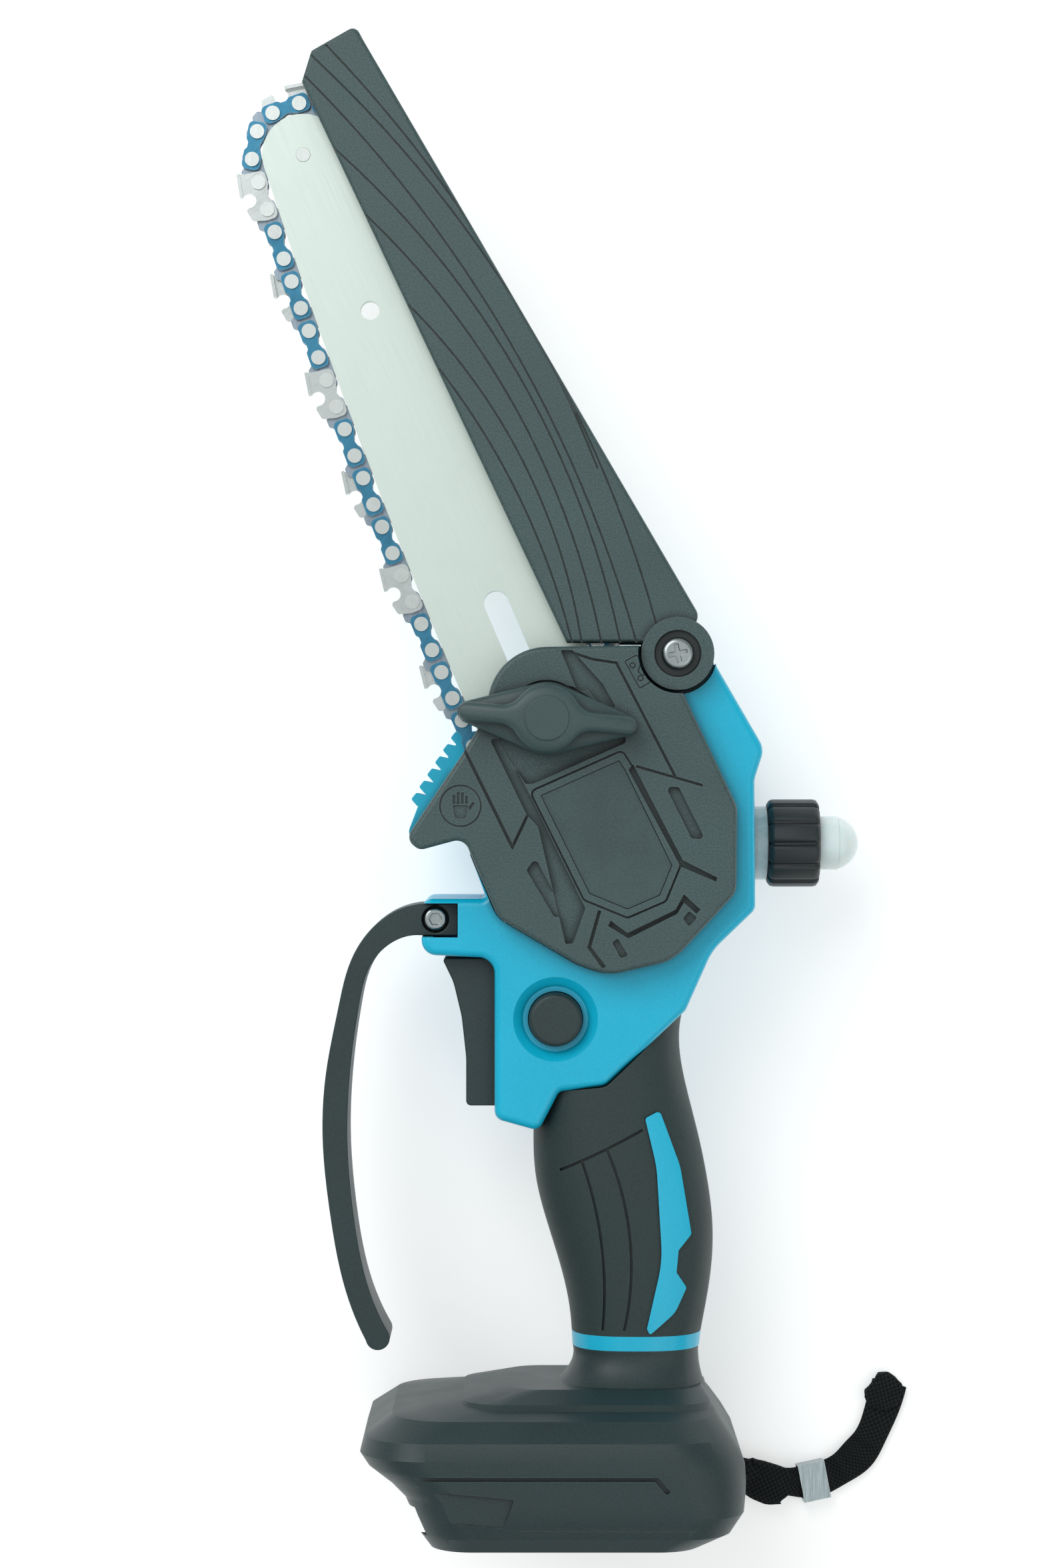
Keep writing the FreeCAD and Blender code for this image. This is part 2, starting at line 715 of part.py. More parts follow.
# ---------------------------------------------------------------- casing
HEAD_OUTLINE = [
    (-30.9, 54.7, 19.2), (-31.0, 34.2, 2.0), (-36.2, 33.2, 2.5), (-47.2, 15.2, 3.0),
    (-49.8, 8.4, 2.6), (-45.9, 4.9, 2.6), (-36.0, 8.2, 2.0), (-30.2, -7.0, 1.0),
    (-46.0, -7.0, 2.6), (-46.0, -20.6, 3.6), (-28.3, -21.4, 4.0), (-28.3, -60.4, 2.6),
    (-17.6, -63.4, 2.4), (-12.6, -53.8, 2.0), (-1.3, -52.6, 4.0), (18.1, -34.1, 2.4),
    (24.6, -19.6, 14.0), (35.0, -9.6, 2.6), (34.8, 22.0, 6.0), (37.2, 29.4, 5.0),
    (25.5, 49.6, 4.0), (24.0, 58.0, 2.4), (10.0, 58.0, 2.4), (9.0, 54.7, 2.0),
]
COVER_OUTLINE = [
    (-29.8, 53.6, 18.0), (-29.9, 38.0, 6.0), (-35.6, 28.6, 8.0), (-49.6, 7.6, 2.6),
    (-46.3, 4.9, 2.6), (-35.6, 7.8, 3.0), (-27.4, -11.4, 6.0), (-8.3, -22.6, 10.0),
    (-1.1, -25.2, 12.0), (14.6, -21.6, 12.0), (29.8, -5.2, 5.0), (30.0, 15.4, 5.0),
    (11.6, 54.2, 1.0),
]
BLOCK_OUTLINE = [
    (-30.2, -4.0, 1.0), (-30.2, -7.0, 1.0), (-46.0, -7.0, 2.6), (-46.0, -20.6, 3.6),
    (-28.3, -21.4, 4.0), (-28.3, -60.4, 2.6), (-17.6, -63.4, 2.4), (-12.6, -53.8, 2.0),
    (-1.3, -52.6, 4.0), (18.1, -34.1, 2.4), (24.6, -19.6, 14.0), (22.0, -4.0, 1.0),
]
CASING_SCREWS = [(-24.0, 44.5), (30.6, 31.0), (-38.5, 14.0), (24.0, -9.8), (4.0, -42.0)]
GRIP_SECTIONS = [
    # y, left edge, right edge, half thickness
    (GRIP_TOP, -18.4, 18.4, 17.0), (-50.0, -18.4, 17.9, 17.0), (-63.6, -18.8, 21.2, 17.0),
    (-76.0, -18.2, 23.8, 16.8), (-89.2, -14.8, 25.2, 16.2), (-101.5, -11.2, 24.4, 15.6),
    (GRIP_END, -9.4, 22.3, 15.0),
]


def grip_ring_wire(y, left, right, half, inset):
    """Rounded section of the handle at one height: a squarish ellipse."""
    centre = (left + right) / 2
    wide, deep = (right - left) / 2 - inset, half - inset
    points = []
    for step in range(16):
        angle = 2 * math.pi * step / 16
        cosine, sine = math.cos(angle), math.sin(angle)
        power = 0.78
        x = centre + wide * math.copysign(abs(cosine) ** power, cosine)
        z = MID + deep * math.copysign(abs(sine) ** power, sine)
        points.append(V(x, y, z))
    curve = Part.BSplineCurve()
    curve.interpolate(points, PeriodicFlag=True)
    return Part.Wire(curve.toShape())


def grip_loft(inset, sections):
    """Handle body through its sections."""
    wires = [grip_ring_wire(*section, inset) for section in sections]
    return Part.makeLoft(wires, True, False)


def below(shape, level):
    """The part of a shape under a level."""
    return shape.common(box(-200, 200, -300, 300, -50, level))


def above(shape, level):
    """The part of a shape over a level."""
    return shape.common(box(-200, 200, -300, 300, level, 200))


def casing_tongue(inset):
    """Casing inside the rubber grip, down to the foot's socket."""
    end = GRIP_SECTIONS[-1]
    sections = GRIP_SECTIONS[:-1] + [
        end, (SOCKET_END, end[1] + 0.4, end[2] - 0.4, end[3] - 0.2),
    ]
    return grip_loft(inset, sections)


def stadium(radius, low, high):
    """Outline of the motor cap: two round ends, over the sprocket axis and the motor."""
    centre = motor_place()
    return join(
        disc((0, 0), radius, low, high),
        disc(centre, radius, low, high),
        moved_slab(centre, radius, low, high),
    )


def moved_slab(centre, radius, low, high):
    """Straight middle of the motor cap."""
    turn = math.atan2(centre[1], centre[0])
    side = (-math.sin(turn) * radius, math.cos(turn) * radius)
    corners = [
        side, (centre[0] + side[0], centre[1] + side[1]),
        (centre[0] - side[0], centre[1] - side[1]), (-side[0], -side[1]),
    ]
    return prism(corners, low, high)


def bumper_teeth():
    """Row of blunt spikes on the head's left edge."""
    first, last, count = (-36.0, 33.4), (-47.6, 15.4), 6
    teeth = []
    for i in range(count):
        share = (i + 0.5) / count
        x = first[0] + (last[0] - first[0]) * share
        y = first[1] + (last[1] - first[1]) * share
        tooth = prism([
            (0.0, 1.6), (-1.7, 1.1, 0.4), (-2.0, -0.9, 0.5), (0.0, -1.6), (2.5, -1.6), (2.5, 1.6),
        ], MID - 6, HEAD_FACE)
        tooth.rotate(V(0, 0, 0), UP, -30)
        tooth.translate(V(x, y, 0))
        teeth.append(tooth)
    return teeth


def screw_boss(place, low, high, hole_r):
    """Upright boss with its hole."""
    return ring(place, 3.4, hole_r, low, high)


def housing_cavity():
    """Hollow of both casing halves."""
    head = prism(HEAD_OUTLINE, CASE_BACK + WALL, HEAD_FACE - WALL, -WALL)
    head = head.common(box(-60, 60, -14, 80, 0, 80))
    block = prism(BLOCK_OUTLINE, BLOCK_LOW + WALL, BLOCK_HIGH - WALL, -WALL)
    end = GRIP_SECTIONS[-1]
    sections = [GRIP_SECTIONS[0]] + GRIP_SECTIONS[1:-1] + [
        end, (SOCKET_END - 1, end[1] + 0.4, end[2] - 0.4, end[3] - 0.2),
    ]
    handle = grip_loft(RUBBER + WALL, sections)
    block_low = block.common(box(-60, 60, -80, -10, 0, 80))
    upper = block.common(box(-60, 60, -80, -6, 0, HEAD_FACE - WALL))
    return head, join(block_low, upper), handle


def hood_room():
    """Space over the head for the cover, bar, chain and hood."""
    high = BLOCK_HIGH + 20
    cover = prism(COVER_OUTLINE, HEAD_FACE, high, GAP)
    ear = disc(PIVOT, EAR_R + 1.0, HEAD_FACE, high)
    front = prism(
        [(-70, 90), (-70, 6), (-44, 6), (-20, 30), (8, 42), (22, 47), (24.6, 50.5), (45, 90)],
        HEAD_FACE, high,
    )
    return join(cover, ear, front)


def housing():
    """Blue casing: near and far halves with bosses, bearing seat and button dish."""
    head = prism(HEAD_OUTLINE, CASE_BACK, BLOCK_HIGH)
    head = head.cut(box(-80, 80, -90, -14, -1, BLOCK_LOW))
    head = head.makeFillet(2.0, edges_at(head, BLOCK_HIGH))
    head = join(head, *bumper_teeth())
    head = head.cut(hood_room())
    tongue = casing_tongue(RUBBER)
    ring_band = grip_loft(0.0, [
        (GRIP_END - SEAM, -9.4, 22.3, 15.0), (RING_END, -9.2, 21.9, 14.8),
    ])
    body = join(head, tongue, ring_band)
    head_cavity, block_cavity, handle_cavity = housing_cavity()
    body = body.cut(head_cavity).cut(block_cavity).cut(handle_cavity)
    slot = box(-50, -20, -58.4, -21.2, MID - TRIGGER_HALF - GAP, MID + TRIGGER_HALF + GAP)
    body = body.cut(slot)
    body = body.cut(guard_recess()).cut(guard_screw_room())
    body = body.cut(stadium(CAP_R - CAP_WALL, CASE_BACK - 1, CASE_BACK + WALL + 1))
    neck = rod(V(20, OIL_Y, OIL_Z), V(50, OIL_Y, OIL_Z), NECK_R + GAP)
    body = body.cut(neck)
    near = above(body, MID)
    far = below(body, MID)
    near = join(near, disc((0, 0), BEARING_R + 2.5, MID + 0.2, HEAD_FACE))
    near = near.cut(disc((0, 0), BEARING_R + 0.02, HEAD_FACE - BEARING_THICK, 60))
    near = near.cut(disc((0, 0), SHAFT_R + 1.5, MID - 1, 60))
    near = near.cut(disc((0, 0), 11.0, MID - 1, MID + 0.6))
    tunnel = bar_slab(18, 53, SCREW_SIDE - 4.4, SCREW_SIDE + 4.4, MID + 0.6, HEAD_FACE)
    near = join(near, tunnel)
    near = near.cut(bar_slab(
        tension_place()[0] - 11, tension_place()[0] + 7,
        SCREW_SIDE - 3.4, SCREW_SIDE + 3.4, MID + 1.8, HEAD_FACE + 5,
    ))
    near = near.cut(rod(
        flat(on_bar(15, SCREW_SIDE), SCREW_LEVEL), flat(on_bar(60, SCREW_SIDE), SCREW_LEVEL),
        SCREW_R + GAP / 2,
    ))
    near = near.cut(rod(
        flat(on_bar(47, SCREW_SIDE), SCREW_LEVEL), flat(on_bar(66, SCREW_SIDE), SCREW_LEVEL),
        SCREW_R + 1.4 + GAP / 2,
    ))
    stud_seat = disc(on_bar(STUD_AT, 0), 6.0, MID + 0.6, HEAD_FACE)
    near = join(near, stud_seat).cut(disc(on_bar(STUD_AT, 0), STUD_R + 0.01, MID - 1, 60))
    pivot_seat = disc(PIVOT, 6.5, MID, HEAD_FACE)
    near = join(near, pivot_seat).cut(disc(PIVOT, 1.75, MID + 0.6, 60))
    dish = Part.makeCone(
        BUTTON_R + 1.4, DISH_R, 1.9, flat(BUTTON, BLOCK_HIGH - 1.9 + 0.001), UP
    )
    near = near.cut(dish).cut(disc(BUTTON, BUTTON_R + 0.25, BLOCK_HIGH - WALL - 1, 70))
    screws = []
    for place in CASING_SCREWS:
        in_block = place[1] < -14
        far_face = BLOCK_LOW if in_block else CASE_BACK
        near_face = BLOCK_HIGH - WALL if in_block else HEAD_FACE - WALL
        near = join(near, screw_boss(place, MID, near_face + 0.1, 1.5))
        far = join(far, disc(place, 3.6, far_face, MID))
        far = far.cut(disc(place, 1.6, 0, MID + 1))
        far = far.cut(disc(place, 3.0, 0, far_face + 3.2))
        top = min(near_face, MID + 8)
        screws.append(join(
            disc(place, 1.45, far_face + 2, top - 0.5),
            disc(place, 2.8, far_face + 1.2, far_face + 3.2),
        ))
    keep("housing_near", near)
    keep("housing_far", far)
    return screws


def guard_recess():
    """Pocket in the casing's horn for the hand guard's end."""
    return box(-60, -37.2, -16.4, -8.1, MID - GUARD_HALF - 0.1, MID + GUARD_HALF + 0.1).fuse(
        box(-60, -37.2, -16.4, -8.1, MID + GUARD_HALF - 1, BLOCK_HIGH + 5)
    )


def motor_cap():
    """Vented cap over the motor, on whose flat face the saw rests."""
    shell = stadium(CAP_R, 0, CASE_BACK)
    shell = shell.makeFillet(3.0, edges_at(shell, 0.0))
    shell = shell.cut(stadium(CAP_R - CAP_WALL, CAP_WALL, CASE_BACK + 1))
    centre = motor_place()
    for row in range(-4, 5):
        x = centre[0] + row * 3.6
        long = math.sqrt(max(0.0, 16.5 ** 2 - (row * 3.6) ** 2))
        if long > 4:
            shell = shell.cut(box(x - 0.8, x + 0.8, centre[1] + 1, centre[1] + long, -1, CAP_WALL + 1))
    for step in range(7):
        angle = math.radians(-66 + 14 * step - 90)
        slot = rod(
            V(18 * math.cos(angle), 18 * math.sin(angle), 8.5),
            V(30 * math.cos(angle), 30 * math.sin(angle), 8.5), 1.2,
        )
        shell = shell.cut(slot)
    keep("far_cap", shell)


# ---------------------------------------------------------------- side cover
def relief():
    """Raised and sunk figures on the side cover: (outline, depth below the top face)."""
    sunk = [
        # deep pocket round the knob, then the lines between the raised pads
        ([(-29.4, 31.6, 0.6), (-27.0, 31.8, 0.6), (-19.6, 18.0, 0.5), (-6.4, -9.0, 0.5),
          (-9.4, -17.4, 0.5), (-11.2, -17.6, 0.5), (-17.8, 10.6, 0.5), (-20.6, 13.6, 0.5)], 1.3),
        ([(-35.8, 28.9, 0.1), (-24.3, 5.5, 0.1), (-23.6, 5.9, 0.1), (-35.1, 29.3, 0.1)], 0.8),
        ([(-24.4, 5.6, 0.1), (-20.3, 14.2, 0.1), (-19.7, 13.8, 0.1), (-23.8, 5.0, 0.1)], 0.8),
        ([(-12.4, 53.0, 0.3), (-9.6, 53.0, 0.3), (-2.2, 44.8, 0.3), (1.0, 39.0, 0.3),
          (-2.9, 39.8, 0.3), (-5.8, 43.4, 0.3), (-8.4, 43.2, 0.3)], 1.1),
        ([(-9.8, 52.8, 0.1), (-4.8, 51.1, 0.1), (1.2, 50.2, 0.1), (15.4, 22.8, 0.1),
          (14.8, 22.5, 0.1), (0.8, 49.6, 0.1), (-5.0, 50.5, 0.1), (-9.8, 52.1, 0.1)], 0.8),
        ([(5.0, 25.6, 0.2), (16.9, 2.6, 0.2), (25.2, -1.6, 0.2), (25.0, -2.6, 0.2),
          (16.4, 1.0, 0.2), (3.9, 24.2, 0.2)], 1.3),
        ([(5.9, 25.4, 0.1), (21.8, 20.8, 0.1), (21.6, 20.2, 0.1), (5.6, 24.8, 0.1)], 0.7),
        ([(-0.4, -11.9, 0.2), (3.7, -14.9, 0.2), (15.2, -9.3, 0.2), (17.2, -5.6, 0.2),
          (21.2, -9.3, 0.2), (20.2, -10.3, 0.2), (17.2, -7.6, 0.2), (15.6, -10.3, 0.2),
          (3.9, -16.2, 0.2), (-1.0, -13.2, 0.2)], 1.3),
        ([(-2.6, -9.6, 0.2), (-5.0, -18.2, 0.2), (-1.4, -23.0, 0.2), (-2.4, -23.4, 0.2),
          (-6.0, -18.4, 0.2), (-3.4, -9.4, 0.2)], 0.8),
    ]
    slots = [
        ([(-20.6, 0.2, 1.0), (-18.4, 3.2, 1.0), (-11.9, -9.2, 1.0), (-13.2, -12.3, 1.0)], 0.9),
        ([(12.8, 20.3, 0.9), (16.0, 20.1, 0.9), (22.4, 7.4, 0.9), (19.0, 7.8, 0.9)], 0.9),
        ([(0.0, -17.2, 0.5), (1.3, -16.1, 0.5), (3.9, -20.4, 0.5), (2.0, -20.9, 0.5)], 0.7),
        ([(17.0, -11.4, 0.5), (18.4, -9.6, 0.5), (20.4, -11.2, 0.5), (18.4, -13.4, 0.5)], 0.7),
    ]
    return sunk + slots


HAND_AT = (-36.4, 15.6)
LABEL = [
    (-19.4, 18.9, 1.2), (2.3, 28.6, 1.2), (4.6, 25.0, 1.0), (16.2, 1.4, 1.6), (12.7, -7.1, 1.2),
    (3.7, -11.0, 1.2), (-6.6, -6.8, 1.6),
]


def pictograms():
    """Sunk signs: an open hand in a circle, and a bar with two holes."""
    low, high = COVER_TOP - 0.5, COVER_TOP + 1
    x, y = HAND_AT
    palm = [(x - 1.9, y + 0.2, 0.4), (x + 1.9, y + 0.2, 0.4), (x + 1.3, y - 3.0, 0.8),
            (x - 1.3, y - 3.0, 0.8)]
    thumb = [(x + 2.0, y - 1.4, 0.2), (x + 3.5, y + 0.6, 0.3), (x + 3.0, y + 1.0, 0.3),
             (x + 2.0, y - 0.3, 0.1)]
    signs = [ring(HAND_AT, 5.1, 4.7, low, high), prism(palm, low, high), prism(thumb, low, high)]
    for number, reach in enumerate((2.6, 3.3, 3.2, 2.4)):
        left = x - 1.85 + 1.0 * number
        signs.append(box(left, left + 0.65, y + 0.5, y + reach, low, high))
    bar = [(3.0, 50.3, 0.4), (5.9, 51.8, 0.4), (7.0, 50.0, 0.2), (6.2, 47.8, 0.5),
           (7.3, 46.8, 0.5), (8.7, 47.8, 0.2), (9.8, 45.7, 0.3), (6.6, 43.8, 0.4)]
    signs.append(prism(bar, low, high, 0.15).cut(prism(bar, low - 1, high + 1, -0.15)))
    signs += [ring(place, 0.75, 0.45, low, high) for place in ((4.9, 49.3), (6.8, 46.2))]
    return signs


def side_cover():
    """Black cover over the sprocket, hollow, open where bar and chain leave it."""
    low = HEAD_FACE
    cover = prism(COVER_OUTLINE, low, COVER_TOP)
    cover = cover.makeFillet(1.2, edges_at(cover, COVER_TOP))
    cover = cover.cut(disc(PIVOT, EAR_R + 0.9, low - 1, COVER_TOP + 1))
    hollow_top = COVER_TOP - 4.2
    cover = cover.cut(prism(COVER_OUTLINE, low - 1, hollow_top, -COVER_WALL))
    mouth = bar_slab(8, 90, -26, 26.5, low - 1, BAR_PLANE + 6.2)
    cover = cover.cut(mouth)
    stud = on_bar(STUD_AT, 0)
    boss = disc(stud, 7.0, BAR_PLANE + BAR_THICK / 2 + 0.1, hollow_top + 0.1)
    cover = join(cover, boss)
    for figure, depth in relief():
        cover = cover.cut(prism(figure, COVER_TOP - RELIEF * depth, COVER_TOP + 1))
    pocket = prism([
        (-27.2, 31.0, 1.0), (-20.8, 20.8, 1.0), (-18.8, 20.9, 1.0), (3.4, 30.8, 1.0),
        (2.0, 37.0, 2.0), (-10.0, 44.6, 3.0), (-26.0, 41.0, 3.0),
    ], COVER_TOP - 2.6, COVER_TOP + 1)
    cover = cover.cut(pocket)
    cover = cover.cut(disc(stud, KNOB_HUB_R + 0.8, COVER_TOP - 2.6, COVER_TOP + 1))
    cover = cover.cut(prism(LABEL, COVER_TOP - 1.3, COVER_TOP + 1, 0.5).cut(
        prism(LABEL, COVER_TOP - 2, COVER_TOP + 2)))
    cover = cover.cut(prism(LABEL, COVER_TOP - 0.9, COVER_TOP + 1, -1.6))
    for figure in pictograms():
        cover = cover.cut(figure)
    cover = cover.cut(disc(stud, STUD_R + 0.6, low, COVER_TOP + 1))
    keep("side_cover", cover)
    keep("cover_plate", prism(LABEL, COVER_TOP - 0.9 + 0.01, COVER_TOP - 0.3, -1.7))


# ---------------------------------------------------------------- knob and stud
def stud_and_pad():
    """Fixed threaded stud and the steel pad that the bar slides on."""
    place = on_bar(STUD_AT, 0)
    keep("bar_stud", disc(place, STUD_R, MID + 1.0, KNOB_TOP - 6.4))
    pad_top = BAR_PLANE - BAR_THICK / 2 - 0.05
    pad = bar_slab(
        STUD_AT - PAD_LONG / 2 + 6, STUD_AT + PAD_LONG / 2 - 4,
        -PAD_WIDE, PAD_WIDE, HEAD_FACE, pad_top, 2.5,
    )
    keep("bar_pad", pad.cut(disc(place, STUD_R + 0.05, 0, 90)))


def knob():
    """Wing knob with a steel insert and a loose washer under it."""
    place = on_bar(STUD_AT, 0)
    seat = COVER_TOP - 4.2 + 1.6
    floor = COVER_TOP - 2.6
    washer = ring(place, 6.6, STUD_R + 0.3, floor + 0.05, floor + 1.2)
    keep("knob_washer", washer)
    low = floor + 1.3
    insert = ring(place, 4.2, STUD_R + FIT, low, KNOB_TOP - 6)
    keep("knob_insert", insert)
    half = KNOB_SPAN / 2
    level = COVER_TOP + 0.35
    skirt = prism([
        (-half + 1.5, 0.6, 2.4), (-7.5, 7.6, 5.0), (0, 10.4, 6.0), (8.4, 7.0, 5.0),
        (half - 1.5, -0.6, 2.4), (half - 1.5, -4.6, 2.2), (7.5, -9.4, 5.0), (0, -10.8, 6.0),
        (-8.4, -8.0, 5.0), (-half + 1.5, -3.6, 2.2),
    ], level, level + 4.4)
    wings = prism([
        (-half, 2.4, 2.2), (-11.0, 4.4, 6.0), (-5.5, 9.0, 6.0), (5.5, 9.0, 6.0),
        (11.0, 2.6, 6.0), (half, 1.8, 2.2), (half, -2.4, 2.2), (11.0, -4.4, 6.0),
        (5.5, -9.0, 6.0), (-5.5, -9.0, 6.0), (-11.0, -2.6, 6.0), (-half, -1.8, 2.0),
    ], level + 3.6, KNOB_TOP - 2.2)
    body = join(skirt, wings, disc((0, 0), KNOB_HUB_R, low, KNOB_TOP))
    body.rotate(V(0, 0, 0), UP, -KNOB_TURN)
    body.translate(flat(place))
    body = body.cut(disc(place, 4.25, low - 1, KNOB_TOP - 5.9))
    keep("knob_wing", body)
    return seat


def tensioner():
    """Screw along the bar and the block whose pin moves the bar."""
    along, across = tension_place()
    block_top = BAR_PLANE - BAR_THICK / 2 - 0.1
    block = bar_slab(along - 3.2, along + 3.2, across - 3.0, across + 3.0, MID + 2.2, block_top, 0.4)
    axis_low = flat(on_bar(along - 20, across), SCREW_LEVEL)
    axis_high = flat(on_bar(along + 20, across), SCREW_LEVEL)
    block = block.cut(rod(axis_low, axis_high, SCREW_R + FIT))
    pin = disc(on_bar(along, across), SCREW_R, block_top - 0.5, BAR_PLANE + BAR_THICK / 2)
    keep("tension_block", join(block, pin))
    screw = rod(
        flat(on_bar(along - 9.5, across), SCREW_LEVEL),
        flat(on_bar(50, across), SCREW_LEVEL), SCREW_R,
    )
    head = rod(
        flat(on_bar(49, across), SCREW_LEVEL),
        flat(on_bar(52.4, across), SCREW_LEVEL), SCREW_R + 1.3,
    )
    slot = bar_slab(51.4, 53, across - 4, across + 4, SCREW_LEVEL - 0.4, SCREW_LEVEL + 0.4)
    keep("tension_screw", join(screw, head).cut(slot))


# ---------------------------------------------------------------- hood
HOOD_OUTLINE = [
    (-74.8, 190.4, 0.6), (-72.5, 197.9, 1.2), (-61.8, 204.0, 1.8), (-60.0, 200.6, 2.5),
    (21.5, 61.0, 3.0), (16.0, 54.9, 0.1), (-10.8, 54.9, 0.3),
]
HOOD_GROOVES = [
    ((-41.6, 121.0), (-21.6, 88.6), (-9.2, 53.5)), ((-49.0, 136.4), (-22.6, 101.0), (-7.0, 53.5)),
    ((-59.4, 158.2), (-27.2, 118.4), (-2.2, 53.5)), ((-67.4, 174.6), (-30.6, 132.6), (2.4, 53.5)),
    ((-75.4, 193.0), (-34.6, 143.6), (6.4, 53.5)), ((-74.0, 198.0), (-31.4, 149.4), (11.0, 58.6)),
    ((-69.0, 199.2), (-33.8, 155.4), (-3.4, 97.0)),
]


def with_bar(corners):
    """Corners of the hood, the far ones moved on with the bar's length."""
    dx, dy = on_bar(BAR_LENGTH - PLAIN_BAR, 0.0)
    return [
        (c[0] + dx, c[1] + dy) + tuple(c[2:]) if c[1] > 150 else c for c in corners
    ]


def hood():
    """Channel over the chain's back run that swings on two ears."""
    body = prism(with_bar(HOOD_OUTLINE), HOOD_LOW, HOOD_HIGH)
    body = join(body, disc(PIVOT, EAR_R, HOOD_LOW, HOOD_HIGH))
    body = body.makeFillet(1.0, edges_at(body, HOOD_HIGH))
    inner = prism(with_bar([
        (-95.0, 196.0), (-73.0, 195.6, 1.0), (-62.4, 201.4, 1.5), (18.6, 62.4, 2.0),
        (15.0, 30.0), (-30.0, 30.0), (-95.0, 160.0),
    ]), HOOD_LOW + HOOD_WALL, HOOD_HIGH - HOOD_WALL)
    body = body.cut(inner)
    near_ear = disc(PIVOT, EAR_R, HOOD_HIGH - HOOD_WALL - 0.6, HOOD_HIGH + 1.6)
    body = join(body, near_ear)
    body = body.cut(disc(PIVOT, 6.4, HOOD_LOW + HOOD_WALL, HOOD_HIGH - HOOD_WALL - 0.6))
    body = body.cut(disc(PIVOT, BUSH_R + FIT, HOOD_LOW - 1, HOOD_HIGH + 5))
    body = body.cut(disc(PIVOT, 5.7, HOOD_HIGH - 0.4, HOOD_HIGH + 5))
    for first, middle, last in HOOD_GROOVES:
        body = body.cut(groove(first, middle, last, 0.5, HOOD_HIGH - 0.6, HOOD_HIGH + 1))
    keep("hood", body)


def hood_pivot():
    """Bushing, screw and return spring of the hood."""
    bushing = join(
        disc(PIVOT, BUSH_R, HEAD_FACE, HOOD_HIGH - 0.3),
        disc(PIVOT, 5.3, HOOD_HIGH - 0.3, HOOD_HIGH + 0.2),
    ).cut(disc(PIVOT, 1.8, 0, 90))
    keep("hood_bushing", bushing)
    head = disc(PIVOT, 3.9, HOOD_HIGH + 0.2, HOOD_HIGH + 2.2)
    head = head.makeFillet(1.2, edges_at(head, HOOD_HIGH + 2.2))
    cross = box(-0.55, 0.55, -2.3, 2.3, 0, 5).fuse(box(-2.3, 2.3, -0.55, 0.55, 0, 5))
    cross.rotate(V(0, 0, 0), UP, 12)
    cross.translate(flat(PIVOT, HOOD_HIGH + 0.9))
    screw = join(head, disc(PIVOT, 1.7, MID + 1.5, HOOD_HIGH + 0.3)).cut(cross)
    keep("hood_screw", screw)
    spring = coil(
        flat(PIVOT, HOOD_LOW + HOOD_WALL + 0.3), flat(PIVOT, HOOD_HIGH - HOOD_WALL - 0.9),
        5.2, 0.9, 5,
    )
    keep("hood_spring", spring)


